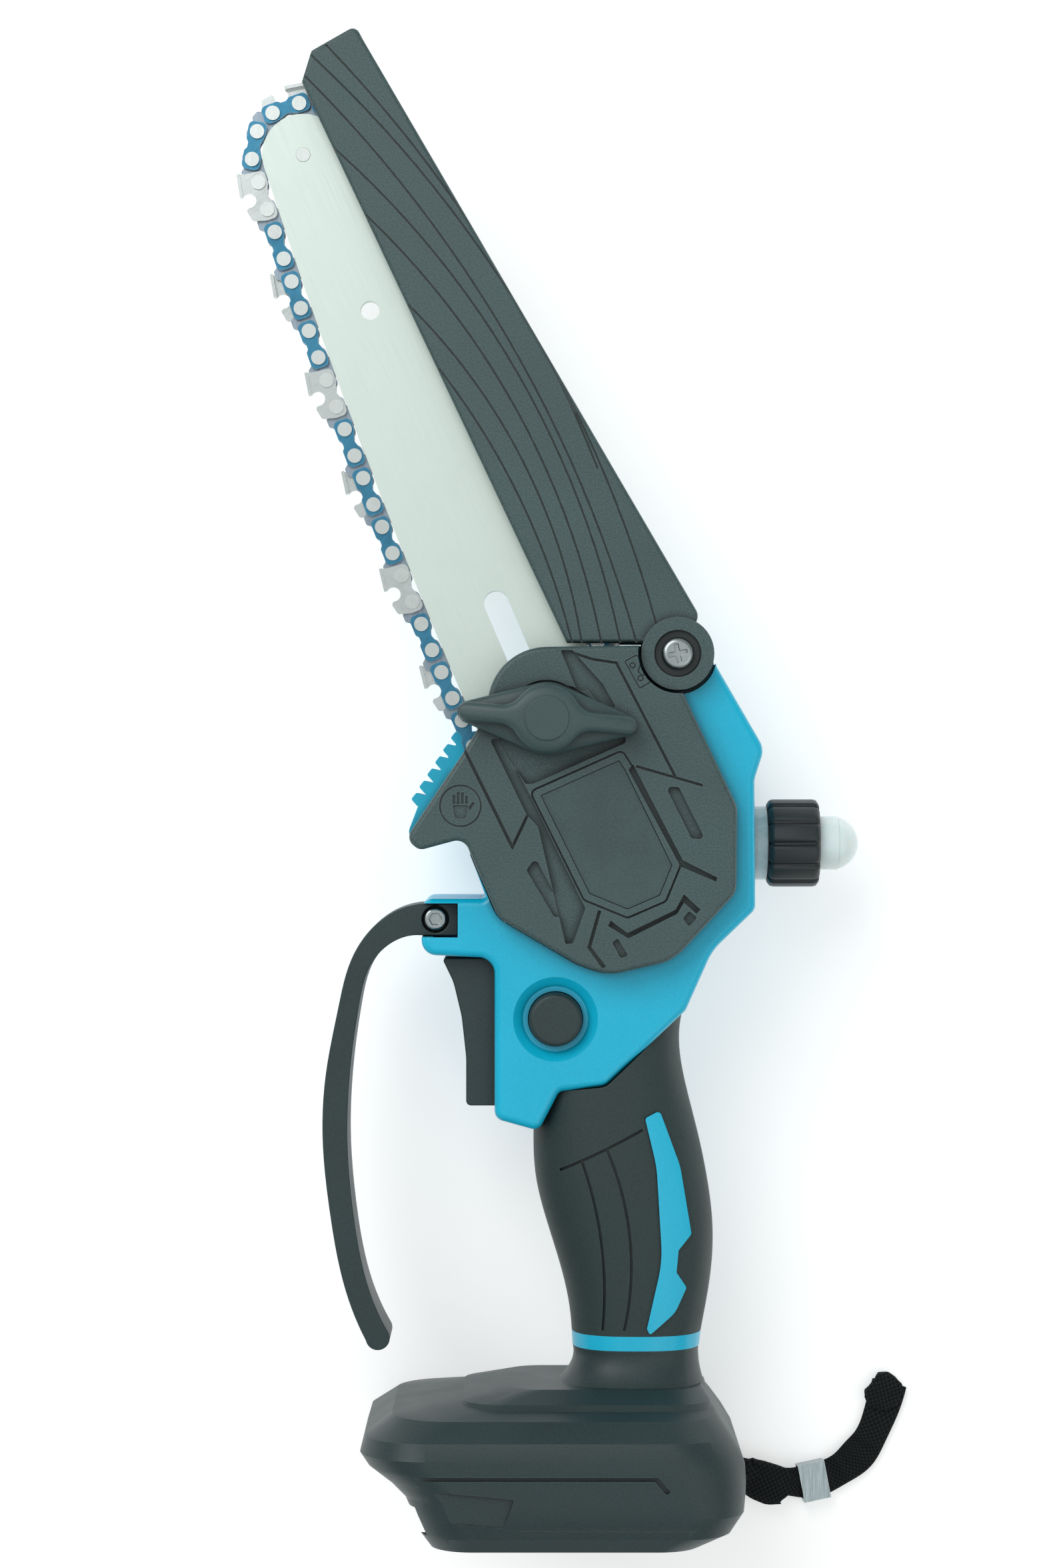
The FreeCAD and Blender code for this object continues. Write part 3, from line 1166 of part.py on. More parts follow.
# ---------------------------------------------------------------- oil
def oil():
    """Tank with its neck, screwed collar with a soft bulb, gasket and feed tube."""
    tank = box(22.0, 31.8, -5.6, 24.0, CASE_BACK + WALL + 0.4, MID - 0.6)
    tank = tank.makeFillet(2.0, [e for e in tank.Edges if e.BoundBox.XLength > 8])
    tank = tank.cut(box(23.5, 30.3, -4.1, 22.5, CASE_BACK + WALL + 2, MID - 2))
    start = V(31.0, OIL_Y, OIL_Z)
    neck = rod(start, V(COLLAR_FROM - 0.3, OIL_Y, OIL_Z), NECK_R)
    thread = rod(start, V(NECK_END, OIL_Y, OIL_Z), NECK_THREAD_R)
    tank = join(tank, neck, thread)
    tank = tank.cut(rod(V(29, OIL_Y, OIL_Z), V(60, OIL_Y, OIL_Z), NECK_THREAD_R - 1.9))
    keep("oil_tank", tank)
    collar = rod(V(COLLAR_FROM, OIL_Y, OIL_Z), V(COLLAR_TO, OIL_Y, OIL_Z), COLLAR_R)
    ribs = 24
    for rib in range(ribs):
        angle = 2 * math.pi * rib / ribs
        y = OIL_Y + (COLLAR_R + 0.35) * math.cos(angle)
        z = OIL_Z + (COLLAR_R + 0.35) * math.sin(angle)
        collar = collar.cut(rod(V(COLLAR_FROM - 1, y, z), V(COLLAR_TO + 1, y, z), 0.95))
    shelf = NECK_END + 0.9
    collar = collar.cut(rod(
        V(COLLAR_FROM - 1, OIL_Y, OIL_Z), V(shelf, OIL_Y, OIL_Z), NECK_THREAD_R + 0.15))
    collar = collar.cut(rod(V(shelf - 1, OIL_Y, OIL_Z), V(60, OIL_Y, OIL_Z), 2.5))
    recess = COLLAR_TO - BULB_TRAVEL - 2.1
    collar = collar.cut(rod(
        V(recess, OIL_Y, OIL_Z), V(60, OIL_Y, OIL_Z), BULB_R + 0.3))
    keep("oil_collar", collar)
    gasket = rod(V(NECK_END + 0.05, OIL_Y, OIL_Z), V(shelf - 0.05, OIL_Y, OIL_Z), 7.9)
    keep("oil_gasket", gasket.cut(rod(V(30, OIL_Y, OIL_Z), V(60, OIL_Y, OIL_Z), 5.0)))
    bulb_from = recess + BULB_TRAVEL + 0.1
    bulb = rod(V(bulb_from, OIL_Y, OIL_Z), V(BULB_TIP - BULB_R + 1.5, OIL_Y, OIL_Z), BULB_R)
    dome = Part.makeSphere(BULB_R, V(BULB_TIP - BULB_R, OIL_Y, OIL_Z))
    bulb = join(bulb, dome.common(box(BULB_TIP - BULB_R, 80, -20, 40, 0, 80)))
    hollow = join(
        rod(V(bulb_from - 1, OIL_Y, OIL_Z), V(BULB_TIP - BULB_R, OIL_Y, OIL_Z), BULB_R - 1.2),
        Part.makeSphere(BULB_R - 1.2, V(BULB_TIP - BULB_R, OIL_Y, OIL_Z)),
    )
    keep("oil_bulb", bulb.cut(hollow))
    tube = join(
        rod(V(26.5, 20.6, MID - 0.5), V(26.5, 20.6, MID + 2.4), 1.3),
    )
    keep("oil_tube", tube)


# ---------------------------------------------------------------- guard, trigger
def hand_guard():
    """Curved guard in front of the fingers, one end screwed to the casing's horn."""
    outer = [
        V(-45.8, -8.4, 0), V(-56.0, -12.3, 0), V(-62.8, -20.8, 0), V(-66.6, -34.0, 0),
        V(-69.6, -50.0, 0), V(-70.4, -65.4, 0), V(-68.6, -84.0, 0), V(-64.6, -103.5, 0),
        V(-59.8, -115.2, 0),
    ]
    inner = [
        V(-54.2, -113.4, 0), V(-58.8, -103.3, 0), V(-62.8, -84.4, 0), V(-64.3, -65.4, 0),
        V(-63.6, -49.0, 0), V(-61.4, -33.0, 0), V(-57.6, -21.8, 0), V(-51.6, -17.0, 0),
        V(-45.8, -16.2, 0),
    ]
    low = MID - GUARD_HALF
    lift = V(0, 0, low)

    def curve(points):
        spline = Part.BSplineCurve()
        spline.interpolate([point + lift for point in points])
        return spline.toShape()

    tip = Part.Arc(outer[-1] + lift, V(-56.0, -117.4, low), inner[0] + lift).toShape()
    end = [inner[-1], V(-37.4, -16.2, 0), V(-37.4, -8.3, 0), outer[0]]
    lines = [
        Part.LineSegment(a + lift, b + lift).toShape() for a, b in zip(end, end[1:])
    ]
    wire = Part.Wire([curve(outer), tip, curve(inner)] + lines)
    guard = Part.Face(wire).extrude(V(0, 0, 2 * GUARD_HALF))
    guard = guard.cut(disc(GUARD_SCREW, 3.3, MID + GUARD_HALF - 2.4, 90))
    guard = guard.cut(disc(GUARD_SCREW, 1.7, 0, 90))
    keep("hand_guard", guard)
    top = MID + GUARD_HALF - 0.2
    head = disc(GUARD_SCREW, 2.9, MID + GUARD_HALF - 2.4, top)
    head = head.makeFillet(0.8, edges_at(head, top))
    socket = prism([
        (1.6 * math.cos(math.radians(60 * i)), 1.6 * math.sin(math.radians(60 * i)))
        for i in range(6)
    ], top - 1.4, top + 1)
    socket.translate(flat(GUARD_SCREW))
    screw = join(head, disc(GUARD_SCREW, 1.6, MID - GUARD_HALF - 1.8, top - 1.6)).cut(socket)
    keep("guard_screw", screw)


def guard_screw_room():
    """Hole in the horn under the guard's screw."""
    return disc(GUARD_SCREW, 1.75, MID - GUARD_HALF - 2.4, MID)


def trigger():
    """Trigger, its spring and the switch behind it."""
    front = prism([
        (-41.3, -21.6, 0.8), (-38.4, -27.6, 12.0), (-36.4, -36.0, 16.0), (-35.3, -46.0, 20.0),
        (-35.3, -57.8, 1.2), (-27.2, -57.8, 0.5), (-27.2, -21.6, 0.5),
    ], MID - TRIGGER_HALF, MID + TRIGGER_HALF)
    ends = [e for e in front.Edges if e.BoundBox.ZLength < 0.01 and e.BoundBox.XMax < -30]
    tongue = box(-27.6, -20.5, -50.5, -26.0, MID - TONGUE_HALF, MID + TONGUE_HALF)
    keep("trigger", join(front, tongue))
    body = box(-12.0, 0.0, -50.0, -27.0, MID - 7.5, MID + 6.2)
    seat = box(-18.6, -7.0, -42.0, -30.5, MID + 6.2, MID + 6.9)
    keep("switch_body", join(body, seat))
    spring = coil(V(-20.45, -46.0, MID), V(-12.05, -46.0, MID), 2.6, 0.6, 6)
    keep("trigger_spring", spring)
    return ends


def lock_button():
    """Round lock-off button in a dished ring, with its spring."""
    shoulder = BLOCK_HIGH - WALL - 0.3
    low = shoulder - 2.8
    top = BLOCK_HIGH + 2.6
    cap = disc(BUTTON, BUTTON_R, low, top)
    cap = cap.makeFillet(1.2, edges_at(cap, top))
    cap = join(cap, disc(BUTTON, BUTTON_R + 0.9, low, shoulder))
    keep("lock_button", cap)
    spring = coil(flat(BUTTON, MID + 6.95), flat(BUTTON, low - 0.05), 4.0, 0.5, 4)
    keep("lock_spring", spring)


# ---------------------------------------------------------------- grip
def rubber_grip():
    """Rubber halves round the handle, with an inlay let into each face."""
    outer = grip_loft(0.0, GRIP_SECTIONS)
    block = prism(BLOCK_OUTLINE, BLOCK_LOW - 5, BLOCK_HIGH + 5, SEAM)
    cover_all = box(-60, 60, GRIP_END - 1, -50, 0, 90)
    corner = prism([(-13, -54), (20, -30), (40, -30), (40, -80), (-13, -80)], 0, 90)
    body = outer.cut(casing_tongue(RUBBER - SEAM)).cut(block)
    body = body.common(join(cover_all, corner))
    inlay = [
        (8.2, -60.2, 0.8), (11.8, -58.4, 1.0), (16.8, -72.0, 14.0), (19.6, -88.6, 1.0),
        (16.4, -92.4, 0.8), (15.9, -97.8, 0.8), (18.4, -101.6, 0.8), (15.6, -107.6, 6.0),
        (9.4, -113.0, 0.5), (8.7, -111.4, 0.4), (12.4, -95.0, 30.0), (11.0, -72.0, 30.0),
    ]
    pocket = prism(inlay, -10, 90, SEAM)
    inset = prism(inlay, -10, 90)
    band = grip_loft(-0.5, GRIP_SECTIONS).cut(casing_tongue(RUBBER - SEAM))
    inlays = inset.common(band)
    body = body.cut(pocket)
    keep("grip_inlays", above(inlays, MID), below(inlays, MID))
    panel = grip_loft(0.7, GRIP_SECTIONS)
    lines = grip_lines()
    cutters = [line.cut(panel) for line in lines]
    body = body.cut(cutters)
    keep("grip_near", largest(above(body, MID)))
    keep("grip_far", largest(below(body, MID)))


def largest(shape):
    """The biggest solid of a shape."""
    return max(shape.Solids, key=lambda solid: solid.Volume)


def grip_lines():
    """Shallow lines that divide the grip's face into panels."""
    paths = [
        ((-12.4, -73.0), (-3.0, -68.6), (7.6, -63.0)),
        ((-7.0, -70.8), (-2.4, -90.0), (-2.0, -112.0)),
        ((-1.2, -67.4), (4.4, -88.0), (3.2, -112.0)),
    ]
    lines = []
    for path in paths:
        lines.append(groove(*path, 0.7, -10, 90))
    return lines


# ---------------------------------------------------------------- foot
FOOT_SECTIONS = [
    # y, left, right, inset from both side faces, corner radius
    (-128.6, -35.0, 24.0, 16.0, 10.0),
    (-131.0, -53.0, 25.5, 6.0, 14.0),
    (-135.5, -59.4, 28.6, 1.4, 15.0),
    (-139.5, -60.6, 31.0, 0.0, 16.0),
    (-142.5, -58.6, 32.0, 0.0, 16.0),
    (-146.4, -53.2, 32.2, 0.0, 15.0),
    (-149.6, -49.8, 32.0, 0.0, 14.0),
    (-153.4, -48.0, 31.6, 0.2, 13.0),
    (-158.2, -46.0, 28.4, 1.2, 12.0),
    (-161.6, -43.6, 21.0, 3.6, 10.0),
]
CAP_SECTIONS = [
    (-125.6, -26.0, 22.0, 20.0, 9.0),
    (-128.2, -36.0, 24.0, 13.0, 10.0),
    (-133.2, -36.6, 25.0, 8.5, 10.0),
]


def foot_wire(y, left, right, inset, radius):
    """Rounded rectangle across the foot at one height."""
    low, high = inset, FOOT_DEEP - inset
    corners = [(left, low), (right, low), (right, high), (left, high)]
    wire = rounded_wire([corner + (radius,) for corner in corners], 0)
    wire.rotate(V(0, 0, 0), V(1, 0, 0), 90)
    wire.translate(V(0, y, 0))
    return wire


def neck_loft(inset):
    """Neck that flares from the grip's end into the foot."""
    end = GRIP_SECTIONS[-1]
    sections = [
        (RING_END - SEAM, -9.2, 21.7, 14.8), (-121.5, -9.4, 21.9, 15.2),
        (-126.0, -12.8, 23.0, 18.0), (-131.5, -22.0, 25.6, 24.0), (-137.0, -30.0, 28.6, 30.0),
    ]
    return grip_loft(inset, sections), end


def foot():
    """Battery foot in two halves: rails for the pack below, electronics above."""
    body = Part.makeLoft([foot_wire(*section) for section in FOOT_SECTIONS], True, True)
    neck = neck_loft(0.0)[0]
    cap = Part.makeLoft([foot_wire(*section) for section in CAP_SECTIONS], True, True)
    solid = join(body, neck, cap)
    solid = solid.cut(grip_loft(RUBBER - 0.25, [
        (RING_END + 1, -9.2, 22.0, 15.0), (SOCKET_END - 0.4, -9.0, 21.9, 14.8),
    ]))
    room = box(-44.0, 22.0, BAY_FROM + WALL, -134.0, BAY_SIDE - 2, FOOT_DEEP - BAY_SIDE + 2)
    wires = grip_loft(5.2, [(-126.0, -9.0, 22.0, 15.0), (-136.0, -9.0, 22.0, 15.0)])
    solid = solid.cut(room).cut(wires)
    bay_low, bay_high = BAY_SIDE, FOOT_DEEP - BAY_SIDE
    solid = solid.cut(box(-80, BAY_END, -180, BAY_FROM, bay_low, bay_high))
    rail_cut = box(-80, BAY_END - 4, RAIL_TO, BAY_FROM - 3.0, bay_low - 4, bay_high + 4)
    solid = solid.cut(rail_cut)
    solid = solid.cut(box(
        1.9, BAY_END - 1.9, BAY_FROM - 1, BAY_FROM + WALL + 1, MID - 9.1, MID + 9.1))
    solid = foot_details(solid)
    screws = []
    for place in ((-30.0, -131.8), (26.0, -147.0)):
        solid = solid.cut(disc(place, 1.5, 10, MID + 14))
        solid = solid.cut(disc(place, 3.1, -1, 16.0))
        screws.append(join(
            disc(place, 1.45, 14.0, MID + 12), disc(place, 2.8, 12.6, 15.9)))
    solid = solid.cut(rod(V(24.5, -154.0, 3.0), V(24.5, -154.0, 12.0), 2.0 + FIT))
    solid = solid.cut(box(21.0, 40.0, -159.0, -149.0, 3.6, 8.4))
    keep("foot_near", above(solid, MID))
    keep("foot_far", below(solid, MID))
    keep("strap_pin", rod(V(24.5, -154.0, 3.05), V(24.5, -154.0, 11.9), 2.0))
    return screws


def foot_details(solid):
    """Sunk side panels, their steps and the level window, on both side faces."""
    upper = [
        (-50.0, -143.2, 0.3), (10.6, -143.2, 0.3), (13.6, -146.6, 0.3), (12.6, -147.2, 0.3),
        (9.9, -144.1, 0.3), (-50.0, -144.1, 0.3),
    ]
    window = [(-42.6, -146.6, 0.5), (-23.4, -148.4, 0.5), (-26.0, -155.2, 0.5), (-39.6, -154.2, 0.5)]
    lower = [
        (-48.0, -156.6, 0.2), (-24.6, -157.4, 0.2), (-22.4, -155.4, 0.2), (20.0, -155.6, 0.2),
        (20.0, -156.5, 0.2), (-22.8, -156.3, 0.2), (-24.9, -158.3, 0.2), (-48.0, -157.5, 0.2),
    ]
    for figure, depth in ((upper, 1.0), (window, 0.8), (lower, 0.9)):
        for low, high in ((FOOT_DEEP - depth, FOOT_DEEP + 5), (-5, depth)):
            solid = solid.cut(prism(figure, low, high))
    return solid


def electronics():
    """Terminal block with blades, circuit board and leads."""
    block = box(-6.0, BAY_END - 0.2, BAY_FROM - 12.5, BAY_FROM - 0.1, MID - 15, MID + 15)
    plug = box(2.0, BAY_END - 2, BAY_FROM - 0.2, BAY_FROM + WALL + 1.5, MID - 9, MID + 9)
    block = join(block, plug)
    blades = []
    low, high = BAY_FROM - 9.5, BAY_FROM - 3.5
    for z in (MID - 9.0, MID, MID + 9.0):
        block = block.cut(box(-24.0, 6.0, low, high, z - 0.5, z + 0.5))
        blades.append(box(-23.0, 6.0, low + 0.1, high - 0.1, z - 0.45, z + 0.45))
    keep("terminal_block", block)
    keep("terminal_blades", *blades)
    board = box(-38.0, 18.0, -142.6, -141.0, MID - 26, MID + 26)
    chips = [
        box(-30, -18, -141.1, -138.6, MID - 19, MID - 7),
        box(-12, 0, -141.1, -137.8, MID + 1, MID + 17),
    ]
    keep("circuit_board", join(board, *chips))
    leads = []
    for z in (MID - 4, MID + 4):
        leads.append(rod(V(6.0, -140.8, z), V(6.0, -60.0, z), 1.2))
    keep("power_leads", *leads)


# ---------------------------------------------------------------- strap
def strap_path():
    """Straight runs joined by arcs as large as the runs allow."""
    edges = []
    start = STRAP_POINTS[0]
    for i in range(1, len(STRAP_POINTS) - 1):
        corner = STRAP_POINTS[i]
        back = STRAP_POINTS[i - 1] - corner
        ahead = STRAP_POINTS[i + 1] - corner
        reach = 0.45 * min(back.Length, ahead.Length)
        turn = math.pi - back.getAngle(ahead)
        radius = reach / math.tan(turn / 2)
        print(f"strap bend {i}: radius {radius:.1f} mm")
        back.normalize()
        ahead.normalize()
        first, last = corner + back * reach, corner + ahead * reach
        sag = radius / math.cos(turn / 2) - radius
        middle = corner + (back + ahead).normalize() * sag
        edges.append(Part.LineSegment(start, first).toShape())
        edges.append(Part.Arc(first, middle, last).toShape())
        start = last
    edges.append(Part.LineSegment(start, STRAP_POINTS[-1]).toShape())
    return Part.Wire(edges)


def strap():
    """Webbing stub: band, gathered tab, double clasp and folded end."""
    path = strap_path()
    first = STRAP_POINTS[0]
    heading = (STRAP_POINTS[1] - first).normalize()
    side = UP.cross(heading).normalize()
    lift = heading.cross(side)
    half_w, half_t = STRAP_WIDE / 2, STRAP_DEEP / 2
    corners = [
        first + side * half_w + lift * half_t, first - side * half_w + lift * half_t,
        first - side * half_w - lift * half_t, first + side * half_w - lift * half_t,
    ]
    profile = Part.makePolygon(corners + [corners[0]])
    sweep = Part.BRepOffsetAPI.MakePipeShell(path)
    sweep.setBiNormalMode(UP)
    sweep.setTransitionMode(0)
    sweep.add(Part.Wire(profile))
    sweep.build()
    sweep.makeSolid()
    band = sweep.shape()
    ideal = STRAP_WIDE * STRAP_DEEP * path.Length
    print(f"strap length {path.Length:.1f} mm, volume {band.Volume / ideal:.4f} of section x length")
    keep("strap_band", band)
    clasp(band)


def clasp(band):
    """Metal clasp folded round the band, at the middle of one bend."""
    corner = STRAP_POINTS[CLASP_AT]
    back = (STRAP_POINTS[CLASP_AT - 1] - corner).normalize()
    ahead = (STRAP_POINTS[CLASP_AT + 1] - corner).normalize()
    reach = 0.45 * min(
        (STRAP_POINTS[CLASP_AT - 1] - corner).Length, (STRAP_POINTS[CLASP_AT + 1] - corner).Length
    )
    half_turn = (math.pi - back.getAngle(ahead)) / 2
    radius = reach / math.tan(half_turn)
    middle = corner + (back + ahead).normalize() * (radius / math.cos(half_turn) - radius)
    heading = (ahead - back).normalize()
    wide, deep = STRAP_WIDE + 2 * CLASP_WALL, STRAP_DEEP + 2 * CLASP_WALL
    block = Part.makeBox(CLASP_LONG, wide, deep, V(-CLASP_LONG / 2, -wide / 2, -deep / 2))
    level = FreeCAD.Rotation(V(1, 0, 0), V(heading.x, heading.y, 0))
    tilt = FreeCAD.Rotation(V(heading.x, heading.y, 0), heading)
    block.Placement = FreeCAD.Placement(middle, tilt.multiply(level))
    keep("strap_clasp", block.cut(band))


def build():
    """Makes every piece."""
    guide_bar()
    chain()
    drive_sprocket()
    reduction()
    motor()
    casing_screws = housing()
    motor_cap()
    side_cover()
    stud_and_pad()
    knob()
    tensioner()
    hood()
    hood_pivot()
    oil()
    hand_guard()
    trigger()
    lock_button()
    rubber_grip()
    foot_screws = foot()
    electronics()
    strap()
    keep("casing_screws", *(casing_screws + foot_screws))


def export():
    """Writes one STEP file per node."""
    os.makedirs("parts", exist_ok=True)
    for name, shape in PARTS.items():
        if not shape.isValid():
            print("not valid:", name)
        shape.exportStep(f"parts/{name}.step")
    print(f"{len(PARTS)} nodes, bar length {BAR_LENGTH:.2f}")


build()
export()
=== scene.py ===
import json
import math

import bmesh
import bpy
from bpy.props import FloatProperty, FloatVectorProperty, PointerProperty
from mathutils import Matrix, Vector


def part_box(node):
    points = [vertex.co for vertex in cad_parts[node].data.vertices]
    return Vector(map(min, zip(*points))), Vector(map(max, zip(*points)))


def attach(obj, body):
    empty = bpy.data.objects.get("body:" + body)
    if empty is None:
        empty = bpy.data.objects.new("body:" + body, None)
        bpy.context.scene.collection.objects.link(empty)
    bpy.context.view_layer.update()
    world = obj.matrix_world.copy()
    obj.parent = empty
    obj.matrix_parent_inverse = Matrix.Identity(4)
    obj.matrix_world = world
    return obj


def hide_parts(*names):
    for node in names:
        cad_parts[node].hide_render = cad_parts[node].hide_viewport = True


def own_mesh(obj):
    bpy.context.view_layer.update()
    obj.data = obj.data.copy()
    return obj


bl_info = {
    "name": "Pruning Saw Maker",
    "version": (1, 0, 0),
    "blender": (4, 5, 0),
    "location": "View3D > Sidebar > Pruning Saw",
    "description": "Finishes a one-handed cordless pruning saw piece by piece",
    "category": "Object",
}

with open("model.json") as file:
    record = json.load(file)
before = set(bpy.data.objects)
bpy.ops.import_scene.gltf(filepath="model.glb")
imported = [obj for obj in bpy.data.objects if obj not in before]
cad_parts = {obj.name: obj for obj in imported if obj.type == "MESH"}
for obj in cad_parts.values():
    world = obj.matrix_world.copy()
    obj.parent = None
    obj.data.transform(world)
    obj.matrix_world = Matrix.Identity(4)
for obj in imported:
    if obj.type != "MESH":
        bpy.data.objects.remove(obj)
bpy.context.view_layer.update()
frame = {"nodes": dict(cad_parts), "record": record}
NODES = frame["nodes"]


# ------------------------------------------------------------------ settings
def colour(name, description, value):
    """Colour property with its default in linear light."""
    return FloatVectorProperty(
        name=name, description=description, subtype="COLOR", size=3,
        min=0.0, max=1.0, default=value,
    )


def length(name, description, value):
    """Length property in metres."""
    return FloatProperty(
        name=name, description=description, default=value, unit="LENGTH", subtype="DISTANCE"
    )


class SawSizes(bpy.types.PropertyGroup):
    """Sizes of the finishing work."""

    mould_edge: length("Moulded edge", "Rounding of moulded plastic edges", 0.00035)
    guard_edge: length("Guard edge", "Rounding of the hand guard's edges", 0.0014)
    metal_edge: length("Metal edge", "Rounding of metal edges", 0.00012)
    knob_half: length("Knob half span", "From the knob's axis to a wing's tip", 0.0214)
    knob_hub: length("Knob hub radius", "Radius of the knob's round middle", 0.0083)
    band_half: length("Strap half width", "Half the width of the strap's webbing", 0.0043)
    lamp_size: length("Lamp size", "Side of the soft lamps", 1.1)


class SawColours(bpy.types.PropertyGroup):
    """Colours of the finishes."""

    shell: colour("Casing blue", "Moulded casing", (0.004, 0.500, 0.760))
    cover: colour("Cover black", "Hood, side cover, guard and trigger", (0.050, 0.088, 0.090))
    rubber: colour("Grip rubber", "Overmoulded grip", (0.018, 0.037, 0.037))
    foot: colour("Foot black", "Battery foot", (0.017, 0.036, 0.038))
    steel: colour("Bar steel", "Guide bar", (0.66, 0.75, 0.70))
    blued: colour("Blued steel", "Tie straps of the chain", (0.060, 0.240, 0.380))
    webbing: colour("Webbing black", "Wrist strap", (0.002, 0.004, 0.0045))
    floor: colour("Floor", "Pale floor", (0.90, 0.90, 0.90))


def sizes():
    """Current sizes."""
    return bpy.context.scene.saw_sizes


def colours():
    """Current colours."""
    return bpy.context.scene.saw_colours


# ------------------------------------------------------------------ node groups
def new_group(name, inputs, outputs):
    """Empty shader group with named sockets."""
    tree = bpy.data.node_groups.new(name, "ShaderNodeTree")
    kinds = {"f": "NodeSocketFloat", "c": "NodeSocketColor", "v": "NodeSocketVector"}
    for label, kind, default in inputs:
        socket = tree.interface.new_socket(
            name=label, in_out="INPUT", socket_type=kinds[kind]
        )
        if default is not None:
            socket.default_value = default
    for label, kind in outputs:
        tree.interface.new_socket(name=label, in_out="OUTPUT", socket_type=kinds[kind])
    source = tree.nodes.new("NodeGroupInput")
    sink = tree.nodes.new("NodeGroupOutput")
    source.location, sink.location = (-900, 0), (900, 0)
    return tree, source.outputs, sink.inputs


def add(tree, kind, place=(0, 0), **settings):
    """New node with settings; a setting named in_N sets input N."""
    node = tree.nodes.new(kind)
    node.location = place
    for key, value in settings.items():
        if key.startswith("in_"):
            node.inputs[int(key[3:])].default_value = value
        else:
            setattr(node, key, value)
    return node


def mix_colour(tree, mask, first, second, blend="MIX", place=(0, 0)):
    """Colour mix; each end is a socket or a plain colour."""
    node = add(tree, "ShaderNodeMix", place, data_type="RGBA", blend_type=blend)
    for index, value in ((0, mask), (6, first), (7, second)):
        if isinstance(value, bpy.types.NodeSocket):
            tree.links.new(value, node.inputs[index])
        else:
            node.inputs[index].default_value = value
    return node.outputs[2]


def ramp(tree, value, low, high, out_low=0.0, out_high=1.0, place=(0, 0)):
    """Remaps a value and clamps it."""
    node = add(
        tree, "ShaderNodeMapRange", place, in_1=low, in_2=high, in_3=out_low, in_4=out_high
    )
    tree.links.new(value, node.inputs[0])
    return node.outputs[0]


def noise(tree, vector, scale, detail=2.0, rough=0.5, place=(0, 0)):
    """Noise in object space."""
    node = add(tree, "ShaderNodeTexNoise", place)
    node.inputs["Detail"].default_value = detail
    node.inputs["Roughness"].default_value = rough
    tree.links.new(vector, node.inputs["Vector"])
    if isinstance(scale, bpy.types.NodeSocket):
        tree.links.new(scale, node.inputs["Scale"])
    else:
        node.inputs["Scale"].default_value = scale
    return node.outputs["Fac"]


def moulded_skin_group():
    """Spark-eroded plastic: fine grain, flecks, a slow drift of tone, and painted shade that
    darkens the colour in hollows and creases.
    """
    tree, given, result = new_group(
        "Moulded skin",
        [("Colour", "c", (0.1, 0.1, 0.1, 1)), ("Fleck", "f", 0.25), ("Drift", "f", 0.15),
         ("Grain", "f", 3200.0), ("Relief", "f", 0.3), ("Roughness", "f", 0.5)],
        [("Colour", "c"), ("Roughness", "f"), ("Normal", "v")],
    )
    here = add(tree, "ShaderNodeTexCoord", (-900, -300)).outputs["Object"]
    fine = noise(tree, here, given["Grain"], 3.0, 0.6, (-600, -200))
    slow = noise(tree, here, 38.0, 3.0, 0.6, (-600, -450))
    bright = mix_colour(tree, 0.55, given["Colour"], (1, 1, 1, 1), "OVERLAY", (-400, 200))
    dark = mix_colour(tree, 0.45, given["Colour"], (0, 0, 0, 1), "MIX", (-400, 0))
    grain = mix_colour(tree, ramp(tree, fine, 0.38, 0.62), dark, bright, "MIX", (-200, 100))
    toned = mix_colour(tree, given["Fleck"], given["Colour"], grain, "MIX", (0, 150))
    tint = ramp(tree, slow, 0.35, 0.65, 0.78, 1.22, (-200, -450))
    drifted = mix_colour(tree, given["Drift"], toned, tint, "MULTIPLY", (200, 150))
    # Painted shade: ambient occlusion darkens the colour in hollows, creases and between parts.
    cavity_occlusion = add(tree, "ShaderNodeAmbientOcclusion", (300, 400), samples=6)
    cavity_occlusion.inputs["Distance"].default_value = 0.0022
    shade = ramp(tree, cavity_occlusion.outputs["AO"], 0.35, 0.95, 0.30, 1.0, (500, 400))
    colour_with_painted_cavity_shade = mix_colour(tree, 1.0, drifted, shade, "MULTIPLY", (700, 200))
    tree.links.new(colour_with_painted_cavity_shade, result["Colour"])
    scuff = ramp(tree, slow, 0.3, 0.7, -0.06, 0.06, (-200, -650))
    summed = add(tree, "ShaderNodeMath", (200, -300), operation="ADD")
    tree.links.new(given["Roughness"], summed.inputs[0])
    tree.links.new(scuff, summed.inputs[1])
    tree.links.new(summed.outputs[0], result["Roughness"])
    bump = add(tree, "ShaderNodeBump", (400, -100))
    bump.inputs["Distance"].default_value = 0.00006
    tree.links.new(given["Relief"], bump.inputs["Strength"])
    tree.links.new(fine, bump.inputs["Height"])
    tree.links.new(bump.outputs[0], result["Normal"])
    return tree


